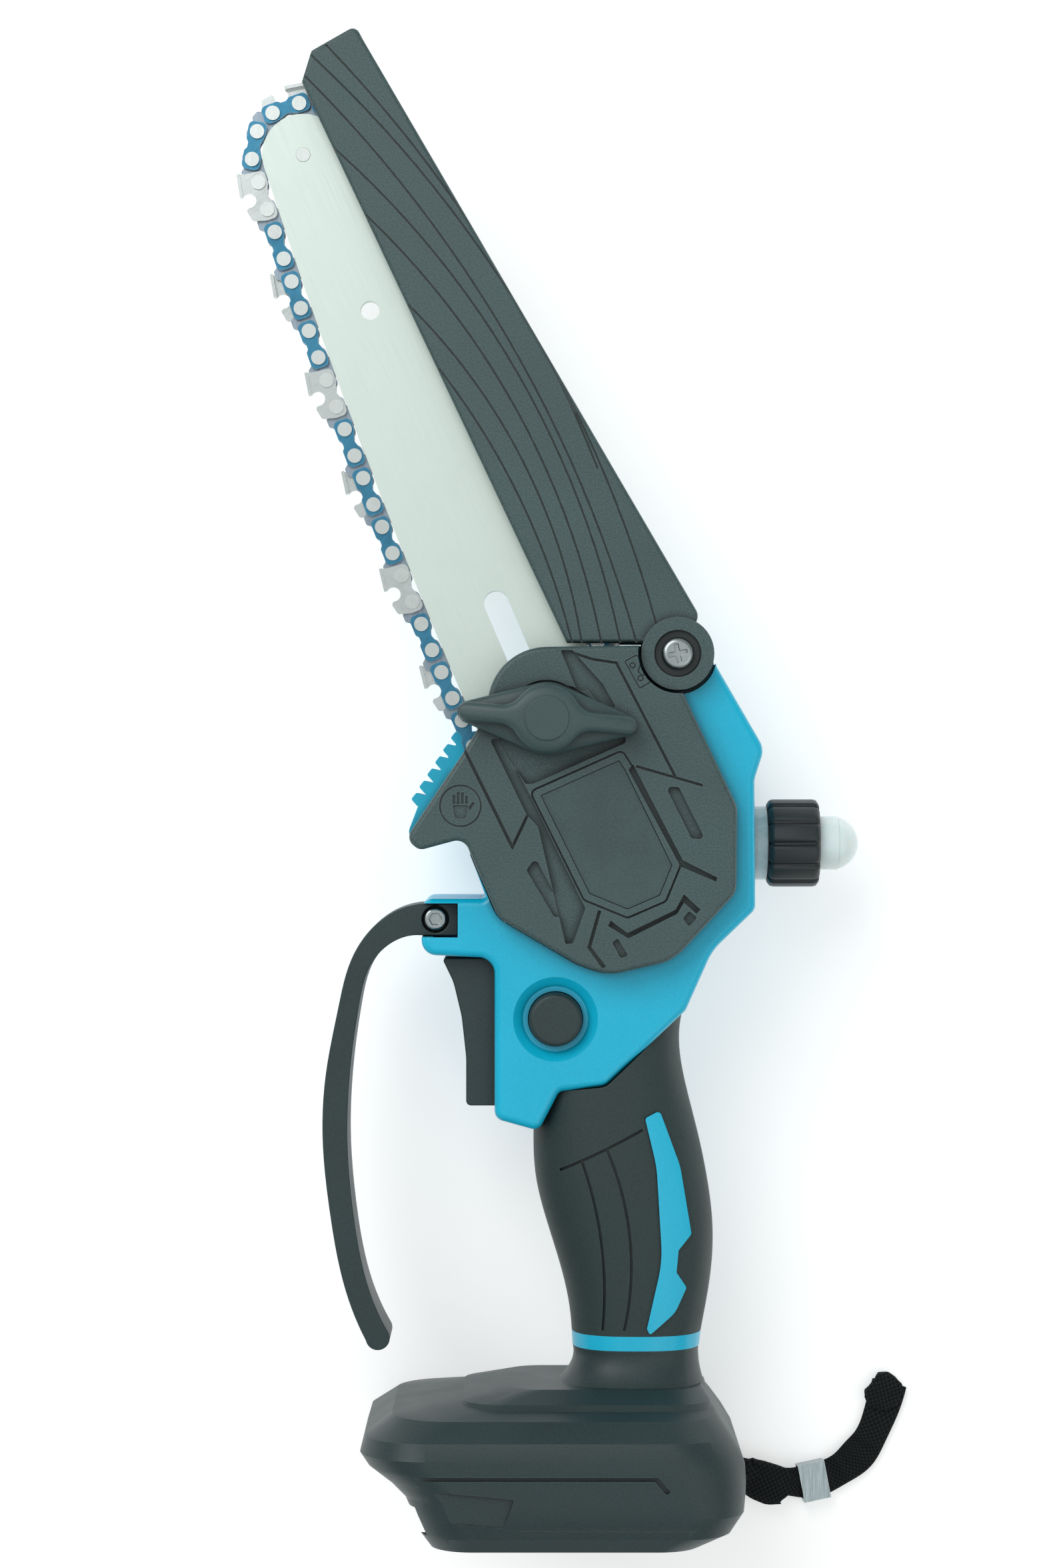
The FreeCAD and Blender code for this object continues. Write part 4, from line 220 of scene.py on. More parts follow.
def edge_wear_and_highlight_group():
    """Paler colour where edges stand out, broken by noise: partly wear, partly painted edge
    highlight.
    """
    tree, given, result = new_group(
        "Edge wear and painted highlight",
        [("Colour", "c", (0.1, 0.1, 0.1, 1)), ("Rub colour", "c", (0.3, 0.3, 0.3, 1)),
         ("Width", "f", 0.0006), ("Amount", "f", 0.5)],
        [("Colour", "c"), ("Mask", "f")],
    )
    bevel = add(tree, "ShaderNodeBevel", (-600, -100), samples=4)
    tree.links.new(given["Width"], bevel.inputs["Radius"])
    geometry = add(tree, "ShaderNodeNewGeometry", (-600, -300))
    dot = add(tree, "ShaderNodeVectorMath", (-400, -200), operation="DOT_PRODUCT")
    tree.links.new(bevel.outputs[0], dot.inputs[0])
    tree.links.new(geometry.outputs["Normal"], dot.inputs[1])
    edge = ramp(tree, dot.outputs["Value"], 0.995, 0.80, 0.0, 1.0, (-200, -200))
    here = add(tree, "ShaderNodeTexCoord", (-900, -500)).outputs["Object"]
    patch = ramp(tree, noise(tree, here, 420.0, 4.0, 0.7, (-600, -500)), 0.35, 0.62)
    broken = add(tree, "ShaderNodeMath", (0, -200), operation="MULTIPLY")
    tree.links.new(edge, broken.inputs[0])
    tree.links.new(patch, broken.inputs[1])
    level = add(tree, "ShaderNodeMath", (200, -200), operation="MULTIPLY")
    tree.links.new(broken.outputs[0], level.inputs[0])
    tree.links.new(given["Amount"], level.inputs[1])
    # Paler edge colour: partly wear, partly painted edge highlight.
    mixed = mix_colour(
        tree, level.outputs[0], given["Colour"], given["Rub colour"], "MIX", (500, 0)
    )
    tree.links.new(mixed, result["Colour"])
    tree.links.new(level.outputs[0], result["Mask"])
    return tree


def brushed_group():
    """Steel ground in one direction, with faint stains."""
    tree, given, result = new_group(
        "Brushed metal",
        [("Colour", "c", (0.6, 0.6, 0.6, 1)), ("Turn", "f", 0.0), ("Fineness", "f", 5000.0),
         ("Contrast", "f", 0.2), ("Stain", "f", 0.1), ("Roughness", "f", 0.35)],
        [("Colour", "c"), ("Roughness", "f"), ("Normal", "v")],
    )
    here = add(tree, "ShaderNodeTexCoord", (-1300, -300)).outputs["Object"]
    turned = add(
        tree, "ShaderNodeVectorRotate", (-1100, -300), rotation_type="Z_AXIS"
    )
    tree.links.new(here, turned.inputs["Vector"])
    tree.links.new(given["Turn"], turned.inputs["Angle"])
    drawn = add(tree, "ShaderNodeVectorMath", (-900, -300), operation="MULTIPLY")
    drawn.inputs[1].default_value = (1.0, 0.012, 1.0)
    tree.links.new(turned.outputs[0], drawn.inputs[0])
    lines = noise(tree, drawn.outputs[0], given["Fineness"], 2.0, 0.6, (-600, -200))
    stain = noise(tree, here, 90.0, 5.0, 0.7, (-600, -500))
    darker = mix_colour(tree, 0.5, given["Colour"], (0, 0, 0, 1), "MIX", (-300, 100))
    mask = add(tree, "ShaderNodeMath", (-200, -100), operation="MULTIPLY")
    tree.links.new(ramp(tree, lines, 0.35, 0.65), mask.inputs[0])
    tree.links.new(given["Contrast"], mask.inputs[1])
    toned = mix_colour(tree, mask.outputs[0], given["Colour"], darker, "MIX", (0, 150))
    spots = add(tree, "ShaderNodeMath", (0, -300), operation="MULTIPLY")
    tree.links.new(ramp(tree, stain, 0.52, 0.75), spots.inputs[0])
    tree.links.new(given["Stain"], spots.inputs[1])
    stained = mix_colour(tree, spots.outputs[0], toned, darker, "MIX", (250, 150))
    tree.links.new(stained, result["Colour"])
    change = ramp(tree, lines, 0.3, 0.7, -0.07, 0.07, (0, -500))
    summed = add(tree, "ShaderNodeMath", (250, -400), operation="ADD")
    tree.links.new(given["Roughness"], summed.inputs[0])
    tree.links.new(change, summed.inputs[1])
    tree.links.new(summed.outputs[0], result["Roughness"])
    bump = add(tree, "ShaderNodeBump", (400, -100))
    bump.inputs["Strength"].default_value = 0.12
    bump.inputs["Distance"].default_value = 0.00004
    tree.links.new(lines, bump.inputs["Height"])
    tree.links.new(bump.outputs[0], result["Normal"])
    return tree


def weave_group():
    """Ribbed webbing that follows the strap's own length, with a faint painted highlight on the
    raised threads.
    """
    tree, given, result = new_group(
        "Webbing weave",
        [("Colour", "c", (0.01, 0.01, 0.01, 1)), ("Picks", "f", 60.0), ("Ends", "f", 9.0)],
        [("Colour", "c"), ("Height", "f")],
    )
    uv = add(tree, "ShaderNodeTexCoord", (-1000, 0)).outputs["UV"]
    split = add(tree, "ShaderNodeSeparateXYZ", (-800, 0))
    tree.links.new(uv, split.inputs[0])

    def wave(value, count, shift, place):
        times = add(tree, "ShaderNodeMath", place, operation="MULTIPLY")
        tree.links.new(value, times.inputs[0])
        tree.links.new(count, times.inputs[1])
        turn = add(
            tree, "ShaderNodeMath", (place[0] + 150, place[1]), operation="MULTIPLY_ADD",
            in_1=2 * math.pi, in_2=shift,
        )
        tree.links.new(times.outputs[0], turn.inputs[0])
        sine = add(tree, "ShaderNodeMath", (place[0] + 300, place[1]), operation="SINE")
        tree.links.new(turn.outputs[0], sine.inputs[0])
        return sine.outputs[0]

    along = wave(split.outputs[0], given["Picks"], 0.0, (-600, 200))
    across = wave(split.outputs[1], given["Ends"], 0.0, (-600, -200))
    crossed = add(tree, "ShaderNodeMath", (-100, 0), operation="MULTIPLY")
    tree.links.new(along, crossed.inputs[0])
    tree.links.new(across, crossed.inputs[1])
    height = ramp(tree, crossed.outputs[0], -1.0, 1.0, 0.0, 1.0, (100, -100))
    tree.links.new(height, result["Height"])
    # Painted highlight: raised threads are made a little paler than the hollows between them.
    pale = mix_colour(tree, 0.02, given["Colour"], (1, 1, 1, 1), "MIX", (100, 200))
    tree.links.new(mix_colour(tree, height, given["Colour"], pale), result["Colour"])
    return tree


def group(name):
    """A shared group, built the first time that it is asked for."""
    makers = {
        "Moulded skin": moulded_skin_group,
        "Edge wear and painted highlight": edge_wear_and_highlight_group,
        "Brushed metal": brushed_group,
        "Webbing weave": weave_group,
    }
    return bpy.data.node_groups.get(name) or makers[name]()


# ------------------------------------------------------------------ materials
def plain_material(name, **shader):
    """Material with a Principled shader; returns it, its tree and the shader."""
    finish = bpy.data.materials.new(name)
    finish.use_nodes = True
    tree = finish.node_tree
    principled = tree.nodes["Principled BSDF"]
    for key, value in shader.items():
        principled.inputs[key.replace("_", " ")].default_value = value
    return finish, tree, principled


def placed_group(tree, name, place, **values):
    """A shared group in a material, with its own values."""
    node = tree.nodes.new("ShaderNodeGroup")
    node.node_tree = group(name)
    node.location = place
    for key, value in values.items():
        socket = node.inputs[key.replace("_", " ")]
        if socket.type == "RGBA":
            socket.default_value = tuple(value)[:3] + (1.0,)
        else:
            socket.default_value = value
    return node


def moulded(name, shade, rough, fleck=0.25, drift=0.15, grain=3200.0, relief=0.3,
            edge_wear_and_highlight=0.0, edge_wear_and_highlight_colour=(0.3, 0.3, 0.3), **shader):
    """Moulded plastic or rubber."""
    finish, tree, principled = plain_material(name, **shader)
    skin = placed_group(
        tree, "Moulded skin", (-600, 0), Colour=shade, Fleck=fleck, Drift=drift,
        Grain=grain, Relief=relief, Roughness=rough,
    )
    tree.links.new(skin.outputs["Roughness"], principled.inputs["Roughness"])
    tree.links.new(skin.outputs["Normal"], principled.inputs["Normal"])
    # Paler edges: partly wear, partly painted edge highlight.
    if edge_wear_and_highlight:
        edge = placed_group(
            tree, "Edge wear and painted highlight", (-300, 200), Rub_colour=edge_wear_and_highlight_colour, Width=0.0005, Amount=edge_wear_and_highlight
        )
        tree.links.new(skin.outputs["Colour"], edge.inputs["Colour"])
        tree.links.new(edge.outputs["Colour"], principled.inputs["Base Color"])
    else:
        tree.links.new(skin.outputs["Colour"], principled.inputs["Base Color"])
    return finish


def metal(name, shade, rough, turn=0.0, contrast=0.2, stain=0.1, fineness=5000.0,
          metallic=1.0, edge_wear_and_highlight=0.0, edge_wear_and_highlight_colour=(0.7, 0.7, 0.7), **shader):
    """Worked metal."""
    finish, tree, principled = plain_material(name, Metallic=metallic, **shader)
    brushed = placed_group(
        tree, "Brushed metal", (-600, 0), Colour=shade, Turn=turn, Fineness=fineness,
        Contrast=contrast, Stain=stain, Roughness=rough,
    )
    tree.links.new(brushed.outputs["Roughness"], principled.inputs["Roughness"])
    tree.links.new(brushed.outputs["Normal"], principled.inputs["Normal"])
    source = brushed.outputs["Colour"]
    # Paler edges: partly wear, partly painted edge highlight.
    if edge_wear_and_highlight:
        edge = placed_group(
            tree, "Edge wear and painted highlight", (-300, 200), Rub_colour=edge_wear_and_highlight_colour, Width=0.00025, Amount=edge_wear_and_highlight
        )
        tree.links.new(source, edge.inputs["Colour"])
        source = edge.outputs["Colour"]
    tree.links.new(source, principled.inputs["Base Color"])
    return finish


def webbing_finish(shade):
    """Black polyester webbing."""
    finish, tree, principled = plain_material("Strap webbing", Roughness=0.85)
    weave = placed_group(tree, "Webbing weave", (-500, 0), Colour=shade, Picks=44.0, Ends=6.0)
    bump = add(tree, "ShaderNodeBump", (-200, -200))
    bump.inputs["Strength"].default_value = 0.8
    bump.inputs["Distance"].default_value = 0.00025
    tree.links.new(weave.outputs["Height"], bump.inputs["Height"])
    tree.links.new(bump.outputs[0], principled.inputs["Normal"])
    tree.links.new(weave.outputs["Colour"], principled.inputs["Base Color"])
    principled.inputs["Specular IOR Level"].default_value = 0.15
    return finish


FINISHES = {}


def finish(name):
    """A named finish of this saw."""
    if name in FINISHES:
        return FINISHES[name]
    c = colours()
    lean = math.radians(-23.3)
    # The edge values in each finish set paler edges: partly wear, partly painted edge highlight.
    made = {
        "shell": lambda: moulded(
            "Casing blue", c.shell, 0.30, fleck=0.10, drift=0.10, grain=2600.0, relief=0.22,
            edge_wear_and_highlight=0.25, edge_wear_and_highlight_colour=(0.20, 0.62, 0.82)),
        "cover": lambda: moulded(
            "Cover black", c.cover, 0.44, fleck=0.55, drift=0.30, grain=2600.0, relief=0.5,
            edge_wear_and_highlight=0.35, edge_wear_and_highlight_colour=(0.17, 0.21, 0.21)),
        "rubber": lambda: moulded(
            "Grip rubber", c.rubber, 0.58, fleck=0.30, drift=0.35, grain=2200.0, relief=0.5,
            edge_wear_and_highlight=0.25, edge_wear_and_highlight_colour=(0.10, 0.13, 0.13)),
        "foot": lambda: moulded(
            "Foot black", c.foot, 0.46, fleck=0.30, drift=0.30, grain=2400.0, relief=0.4,
            edge_wear_and_highlight=0.30, edge_wear_and_highlight_colour=(0.12, 0.15, 0.15)),
        "knob": lambda: moulded(
            "Knob black", (0.042, 0.076, 0.079), 0.42, fleck=0.25, drift=0.2, relief=0.3,
            edge_wear_and_highlight=0.20, edge_wear_and_highlight_colour=(0.10, 0.12, 0.12)),
        "cap": lambda: moulded(
            "Oil cap black", (0.018, 0.026, 0.028), 0.45, fleck=0.2, drift=0.2, relief=0.3,
            edge_wear_and_highlight=0.3, edge_wear_and_highlight_colour=(0.09, 0.11, 0.11)),
        "plate": lambda: moulded(
            "Blank plate", (0.046, 0.080, 0.082), 0.34, fleck=0.30, drift=0.6, grain=2600.0,
            relief=0.12, edge_wear_and_highlight=0.0),
        "seal": lambda: moulded("Seal rubber", (0.03, 0.03, 0.03), 0.7),
        "board": lambda: moulded("Board green", (0.02, 0.16, 0.07), 0.35, fleck=0.4, grain=700.0),
        "leads": lambda: moulded("Lead red", (0.40, 0.02, 0.015), 0.45),
        "bulb": lambda: moulded(
            "Bulb milk white", (0.97, 0.99, 0.98), 0.22, fleck=0.05, drift=0.12, relief=0.05,
            Subsurface_Weight=0.6, Subsurface_Scale=0.004, Coat_Weight=0.3),
        "neck": lambda: moulded(
            "Neck frosted", (0.58, 0.68, 0.70), 0.25, fleck=0.15, drift=0.4, grain=900.0,
            relief=0.2, Subsurface_Weight=0.3, Subsurface_Scale=0.002, Coat_Weight=0.5),
        "bar": lambda: metal(
            "Bar steel", c.steel, 0.42, turn=lean, contrast=0.07, stain=0.06,
            fineness=4000.0, metallic=0.55, edge_wear_and_highlight=0.15, edge_wear_and_highlight_colour=(0.9, 0.95, 0.92)),
        "blued": lambda: metal(
            "Blued strap", c.blued, 0.34, turn=0.6, contrast=0.5, stain=0.8,
            metallic=0.85, edge_wear_and_highlight=0.7, edge_wear_and_highlight_colour=(0.50, 0.62, 0.68)),
        "link": lambda: metal(
            "Link steel", (0.30, 0.36, 0.42), 0.36, contrast=0.4, stain=0.5, edge_wear_and_highlight=0.3),
        "cutter": lambda: metal(
            "Cutter chrome", (0.62, 0.66, 0.66), 0.22, turn=0.9, contrast=0.3, stain=0.4,
            edge_wear_and_highlight=0.4, edge_wear_and_highlight_colour=(0.95, 0.95, 0.95)),
        "rivet": lambda: metal(
            "Rivet steel", (0.62, 0.66, 0.65), 0.30, contrast=0.3, stain=0.35, edge_wear_and_highlight=0.3),
        "steel": lambda: metal("Machined steel", (0.48, 0.50, 0.50), 0.35, contrast=0.3),
        "screw": lambda: metal(
            "Screw steel", (0.42, 0.46, 0.47), 0.28, contrast=0.35, stain=0.3, edge_wear_and_highlight=0.4),
        "bronze": lambda: metal("Sintered bronze", (0.50, 0.34, 0.16), 0.5, contrast=0.3),
        "plate_alloy": lambda: metal("Cast alloy", (0.55, 0.57, 0.58), 0.5, contrast=0.3),
        "can": lambda: metal("Motor can", (0.05, 0.05, 0.06), 0.4, metallic=0.6),
        "brass": lambda: metal("Contact brass", (0.72, 0.56, 0.26), 0.3, contrast=0.2),
        "clasp": lambda: metal(
            "Clasp silver", (0.36, 0.42, 0.44), 0.3, contrast=0.4, stain=0.3, edge_wear_and_highlight=0.5),
        "webbing": lambda: webbing_finish(c.webbing),
    }
    FINISHES[name] = made[name]()
    return FINISHES[name]


# ------------------------------------------------------------------ mesh helpers
def object_from(bm, name, material):
    """Turns a bmesh into a linked object with one finish."""
    mesh = bpy.data.meshes.new(name)
    bm.to_mesh(mesh)
    bm.free()
    mesh.materials.append(finish(material))
    piece = bpy.data.objects.new(name, mesh)
    bpy.context.scene.collection.objects.link(piece)
    return piece


def dress(node, material):
    """Gives a CAD node its finish."""
    slots = NODES[node].data.materials
    slots.clear()
    slots.append(finish(material))


def softened(node, material, width, angle=32.0, segments=2):
    """Copy of a CAD node with rounded edges, standing for it."""
    bm = bmesh.new()
    bm.from_mesh(NODES[node].data)
    bmesh.ops.remove_doubles(bm, verts=bm.verts, dist=2e-6)
    bmesh.ops.dissolve_limit(
        bm, angle_limit=math.radians(0.6), verts=bm.verts, edges=bm.edges
    )
    for face in bm.faces:
        face.smooth = True
    piece = object_from(bm, node + "_soft", material)
    if "custom_normal" in piece.data.attributes:
        piece.data.attributes.remove(piece.data.attributes["custom_normal"])
    bevel = piece.modifiers.new("Round edges", "BEVEL")
    bevel.width = width
    bevel.segments = segments
    bevel.limit_method = "ANGLE"
    bevel.angle_limit = math.radians(angle)
    bevel.use_clamp_overlap = True
    bevel.miter_outer = "MITER_ARC"
    even = piece.modifiers.new("Even shading", "WEIGHTED_NORMAL")
    even.keep_sharp = False
    even.weight = 80
    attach(piece, frame_body(node))
    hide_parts(node)
    return piece


def sprung(node):
    """Copy of a coil spring, on a mesh of its own, standing for it."""
    bm = bmesh.new()
    bm.from_mesh(NODES[node].data)
    bmesh.ops.remove_doubles(bm, verts=bm.verts, dist=2e-6)
    piece = object_from(bm, node + "_coil", "steel")
    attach(piece, frame_body(node))
    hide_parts(node)
    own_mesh(piece)
    return piece


def frame_body(node):
    """Body that a CAD node rides on."""
    for body, members in frame["record"]["behaviour"]["bodies"].items():
        if node in members:
            return body
    raise RuntimeError("no body holds " + node)


# ------------------------------------------------------------------ stage
class SAW_OT_stage(bpy.types.Operator):
    """Camera, pale floor and soft lamps"""

    bl_idname = "saw.stage"
    bl_label = "Stage"

    def execute(self, context):
        camera_data = bpy.data.cameras.new("Overhead camera")
        camera_data.lens = 84.9
        camera_data.sensor_width = 36.0
        camera_data.clip_end = 20.0
        camera = bpy.data.objects.new("Overhead camera", camera_data)
        camera.location = (-0.02151, 0.02084, 0.952)
        context.scene.collection.objects.link(camera)
        context.scene.camera = camera
        bm = bmesh.new()
        bmesh.ops.create_grid(bm, x_segments=2, y_segments=2, size=3.0)
        bmesh.ops.translate(bm, verts=bm.verts, vec=(0, 0, -0.0004))
        floor_finish, tree, principled = plain_material("Pale floor", Roughness=0.9)
        principled.inputs["Base Color"].default_value = tuple(colours().floor) + (1.0,)
        principled.inputs["Specular IOR Level"].default_value = 0.1
        principled.inputs["Emission Color"].default_value = (1, 1, 1, 1)
        principled.inputs["Emission Strength"].default_value = 0.42
        FINISHES["floor"] = floor_finish
        floor = object_from(bm, "Floor", "floor")
        world = bpy.data.worlds.new("Soft room")
        world.use_nodes = True
        background = world.node_tree.nodes["Background"]
        background.inputs["Color"].default_value = (0.93, 1.0, 0.985, 1.0)
        background.inputs["Strength"].default_value = 0.40
        context.scene.world = world
        context.scene.view_settings.view_transform = "Standard"
        for name, place, power, size in (
            ("Key lamp", (-0.65, 0.75, 1.25), 11.5, sizes().lamp_size),
            ("Fill lamp", (0.80, -0.35, 1.10), 2.4, sizes().lamp_size),
            ("Top lamp", (0.0, -0.2, 1.6), 2.6, sizes().lamp_size * 1.3),
        ):
            lamp = bpy.data.lights.new(name, "AREA")
            lamp.energy = power
            lamp.size = size
            stand = bpy.data.objects.new(name, lamp)
            stand.location = place
            aim = Vector((-0.01, 0.02, 0.03)) - Vector(place)
            stand.rotation_euler = aim.to_track_quat("-Z", "Y").to_euler()
            context.scene.collection.objects.link(stand)
        return {"FINISHED"}


# ------------------------------------------------------------------ strap
STRAP_ROUTE = [
    (0.0304, -0.1536, 0.0060), (0.0414, -0.1576, 0.0044), (0.0532, -0.1586, 0.0027),
    (0.0636, -0.1534, 0.0017), (0.0698, -0.1442, 0.0016), (0.0728, -0.1330, 0.0016),
]


def strap_line():
    """Points along the strap's smooth line."""
    curve = bpy.data.curves.new("Strap line", "CURVE")
    curve.dimensions = "3D"
    curve.resolution_u = 12
    spline = curve.splines.new("NURBS")
    spline.points.add(len(STRAP_ROUTE) - 1)
    for point, place in zip(spline.points, STRAP_ROUTE):
        point.co = (*place, 1.0)
    spline.order_u = 3
    spline.use_endpoint_u = True
    guide = bpy.data.objects.new("Strap line", curve)
    mesh = bpy.data.meshes.new_from_object(guide)
    points = [vertex.co.copy() for vertex in mesh.vertices]
    bpy.data.objects.remove(guide)
    bpy.data.curves.remove(curve)
    bpy.data.meshes.remove(mesh)
    return points


def crumpled(name, centre, size, turn, seed):
    """Lump of folded webbing."""
    bm = bmesh.new()
    bmesh.ops.create_icosphere(bm, subdivisions=4, radius=1.0)
    uv = bm.loops.layers.uv.new("UVMap")
    for vertex in bm.verts:
        x, y, z = vertex.co
        square = [math.copysign(abs(value) ** 0.55, value) for value in (x, y, z)]
        fold = 0.10 * math.sin(5.5 * x + 3.0 * y + seed) + 0.07 * math.sin(9.0 * y - 4.0 * x)
        vertex.co = (
            square[0] * size[0] * (1 + fold),
            square[1] * size[1] * (1 - fold * 0.8),
            square[2] * size[2] * (1 + 1.3 * fold),
        )
    spin = Matrix.Rotation(turn, 3, "Z")
    for face in bm.faces:
        face.smooth = True
        for loop in face.loops:
            loop[uv].uv = (loop.vert.co.x / 0.057, 0.5 + loop.vert.co.y / 0.0086)
    bmesh.ops.transform(bm, verts=bm.verts, matrix=spin.to_4x4())
    bmesh.ops.translate(bm, verts=bm.verts, vec=centre)
    for vertex in bm.verts:
        vertex.co.z = max(vertex.co.z, 0.0002)
    lump = object_from(bm, name, "webbing")
    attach(lump, "saw")
    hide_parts("strap_band")
    return lump


class SAW_OT_wrist_strap(bpy.types.Operator):
    """Stub of webbing in a metal clasp"""

    bl_idname = "saw.wrist_strap"
    bl_label = "Wrist strap"

    def execute(self, context):
        points = strap_line()
        bm = bmesh.new()
        uv = bm.loops.layers.uv.new("UVMap")
        ring = 12
        half = sizes().band_half
        steps = len(points)
        bmesh.ops.create_circle(bm, segments=ring, radius=1.0, cap_ends=True)
        front = bm.faces[:]
        loops = [bm.verts[:]]
        for _ in range(steps - 1):
            moved = bmesh.ops.extrude_face_region(bm, geom=front)
            front = [g for g in moved["geom"] if isinstance(g, bmesh.types.BMFace)]
            loops.append([g for g in moved["geom"] if isinstance(g, bmesh.types.BMVert)])
        for index, loop in enumerate(loops):
            share = index / (steps - 1)
            here = points[index]
            ahead = points[min(index + 1, steps - 1)] - points[max(index - 1, 0)]
            ahead.normalize()
            side = Vector((0, 0, 1)).cross(ahead).normalized()
            lift = ahead.cross(side)
            gather = max(0.0, 1.0 - share / 0.38)
            wide = half * (1.0 - 0.28 * gather + 0.06 * math.sin(21 * share))
            thick = 0.0010 * (1.0 + 1.3 * gather + 0.15 * math.sin(34 * share))
            for vertex in loop:
                flat = vertex.co.copy()
                fold = 0.0005 * gather * math.sin(9 * flat.x + 26 * share)
                vertex.co = here + side * (flat.x * wide) + lift * (flat.y * thick + fold)
                vertex.co.z = max(vertex.co.z, 0.0003)
        bmesh.ops.recalc_face_normals(bm, faces=bm.faces)
        for face in bm.faces:
            face.smooth = True
            for loop in face.loops:
                place = loop.vert.co
                nearest = min(range(steps), key=lambda i: (points[i] - place).length_squared)
                offset = place - points[nearest]
                step = points[min(nearest + 1, steps - 1)] - points[max(nearest - 1, 0)]
                side = Vector((0, 0, 1)).cross(step).normalized()
                loop[uv].uv = (nearest / (steps - 1), 0.5 + offset.dot(side) / (2 * half))
        band = object_from(bm, "strap_webbing", "webbing")
        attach(band, "saw")
        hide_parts("strap_band")
        dress("strap_clasp", "clasp")
        dress("strap_pin", "screw")
        tab = crumpled(
            "strap_tab", (0.0405, -0.1578, 0.0046), (0.0068, 0.0050, 0.0021), -0.35, 0.4
        )
        fold = crumpled(
            "strap_fold", (0.0712, -0.1352, 0.0022), (0.0040, 0.0047, 0.0019), -0.5, 2.1
        )
        return {"FINISHED"}


# ------------------------------------------------------------------ casing
class SAW_OT_casing(bpy.types.Operator):
    """Blue casing halves, motor cap and casing screws"""

    bl_idname = "saw.casing"
    bl_label = "Casing"

    def execute(self, context):
        edge = sizes().mould_edge
        softened("housing_near", "shell", edge)
        softened("housing_far", "shell", edge)
        softened("far_cap", "cover", edge)
        dress("casing_screws", "screw")
        return {"FINISHED"}


class SAW_OT_side_cover(bpy.types.Operator):
    """Relief-moulded cover over the sprocket, with its blank plate"""

    bl_idname = "saw.side_cover"
    bl_label = "Side cover"

    def execute(self, context):
        softened("side_cover", "cover", sizes().mould_edge)
        softened("cover_plate", "plate", 0.0001)
        return {"FINISHED"}


class SAW_OT_hood(bpy.types.Operator):
    """Grooved hood over the chain, with its pivot"""

    bl_idname = "saw.hood"
    bl_label = "Chain hood"

    def execute(self, context):
        softened("hood", "cover", 0.0001, angle=40.0, segments=1)
        softened("hood_screw", "screw", sizes().metal_edge)
        dress("hood_bushing", "cap")
        dress("hood_spring", "steel")
        return {"FINISHED"}


class SAW_OT_guide_bar(bpy.types.Operator):
    """Guide bar, its nose rivet, pad and tensioner"""

    bl_idname = "saw.guide_bar"
    bl_label = "Guide bar"

    def execute(self, context):
        softened("guide_bar", "bar", sizes().metal_edge)
        dress("nose_rivet", "rivet")
        for node in ("bar_pad", "bar_stud", "tension_block", "tension_screw"):
            dress(node, "steel")
        return {"FINISHED"}


class SAW_OT_chain(bpy.types.Operator):
    """Drive links, tie straps, cutters and rivets"""

    bl_idname = "saw.chain"
    bl_label = "Chain"

    def execute(self, context):
        for node, material in (
            ("chain_drive_links", "link"), ("chain_tie_straps", "blued"),
            ("chain_cutters", "cutter"), ("chain_rivets", "rivet"),
        ):
            dress(node, material)
        return {"FINISHED"}


# ------------------------------------------------------------------ knob
KNOB_TURN = -0.087
WING_HALF = 0.00235
WING_FILLET = 0.005


def ridge_half(x, half, hub):
    """Half width of the knob's upper body at a distance along its wings."""
    x = min(abs(x), half)
    centre = math.sqrt((hub + WING_FILLET) ** 2 - (WING_HALF + WING_FILLET) ** 2)
    meet = hub * centre / (hub + WING_FILLET)
    if x < meet:
        return math.sqrt(hub * hub - x * x)
    if x < centre:
        return WING_HALF + WING_FILLET - math.sqrt(WING_FILLET**2 - (x - centre) ** 2)
    tip = half - WING_HALF
    if x < tip:
        return WING_HALF
    return math.sqrt(max(0.0, WING_HALF**2 - (x - tip) ** 2))


def skirt_half(x, half, hub):
    """Half width of the skirt: a straight run from the hub to a wing's tip."""
    x = min(abs(x), half)
    tip = half - WING_HALF
    slope = math.asin((hub - WING_HALF) / tip)
    start, end = hub * math.sin(slope), tip + WING_HALF * math.sin(slope)
    if x < start:
        return math.sqrt(hub * hub - x * x)
    if x < end:
        share = (x - start) / (end - start)
        return (hub + (WING_HALF - hub) * share) * math.cos(slope)
    return math.sqrt(max(0.0, WING_HALF**2 - (x - tip) ** 2))


def winged_block(name, body, levels, grow, axis, half, hub):
    """Solid whose plan is body(x), with a crowned top over an upright side."""
    top, low, crown, fall = levels
    bm = bmesh.new()
    bmesh.ops.create_grid(bm, x_segments=96, y_segments=20, size=1.0)
    rim = [e for e in bm.edges if e.is_boundary]
    dropped = bmesh.ops.extrude_edge_only(bm, edges=rim)
    lower = {g for g in dropped["geom"] if isinstance(g, bmesh.types.BMVert)}
    for vertex in bm.verts:
        across = vertex.co.y
        x = half * math.sin(vertex.co.x * math.pi / 2)
        wide = body(x, half, hub) + grow
        edge = max(abs(across), abs(x) / half if abs(x) > half * 0.97 else 0.0)
        level = top - fall * max(0.0, (abs(x) - hub * 0.6) / (half - hub * 0.6)) ** 2
        level -= crown * (1.0 - math.sqrt(max(0.0, 1.0 - edge**3)))
        vertex.co = (x, across * wide, low if vertex in lower else level)
    bmesh.ops.remove_doubles(bm, verts=bm.verts, dist=2e-5)
    bmesh.ops.contextual_create(bm, geom=[e for e in bm.edges if e.is_boundary])
    bmesh.ops.rotate(
        bm, verts=bm.verts, cent=(0, 0, 0), matrix=Matrix.Rotation(KNOB_TURN, 3, "Z")
    )
    bmesh.ops.translate(bm, verts=bm.verts, vec=(axis.x, axis.y, 0))
    bmesh.ops.recalc_face_normals(bm, faces=bm.faces)
    for face in bm.faces:
        face.smooth = len(face.verts) < 8
    piece = object_from(bm, name, "knob")
    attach(piece, "knob")
    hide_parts("knob_wing")
    return piece


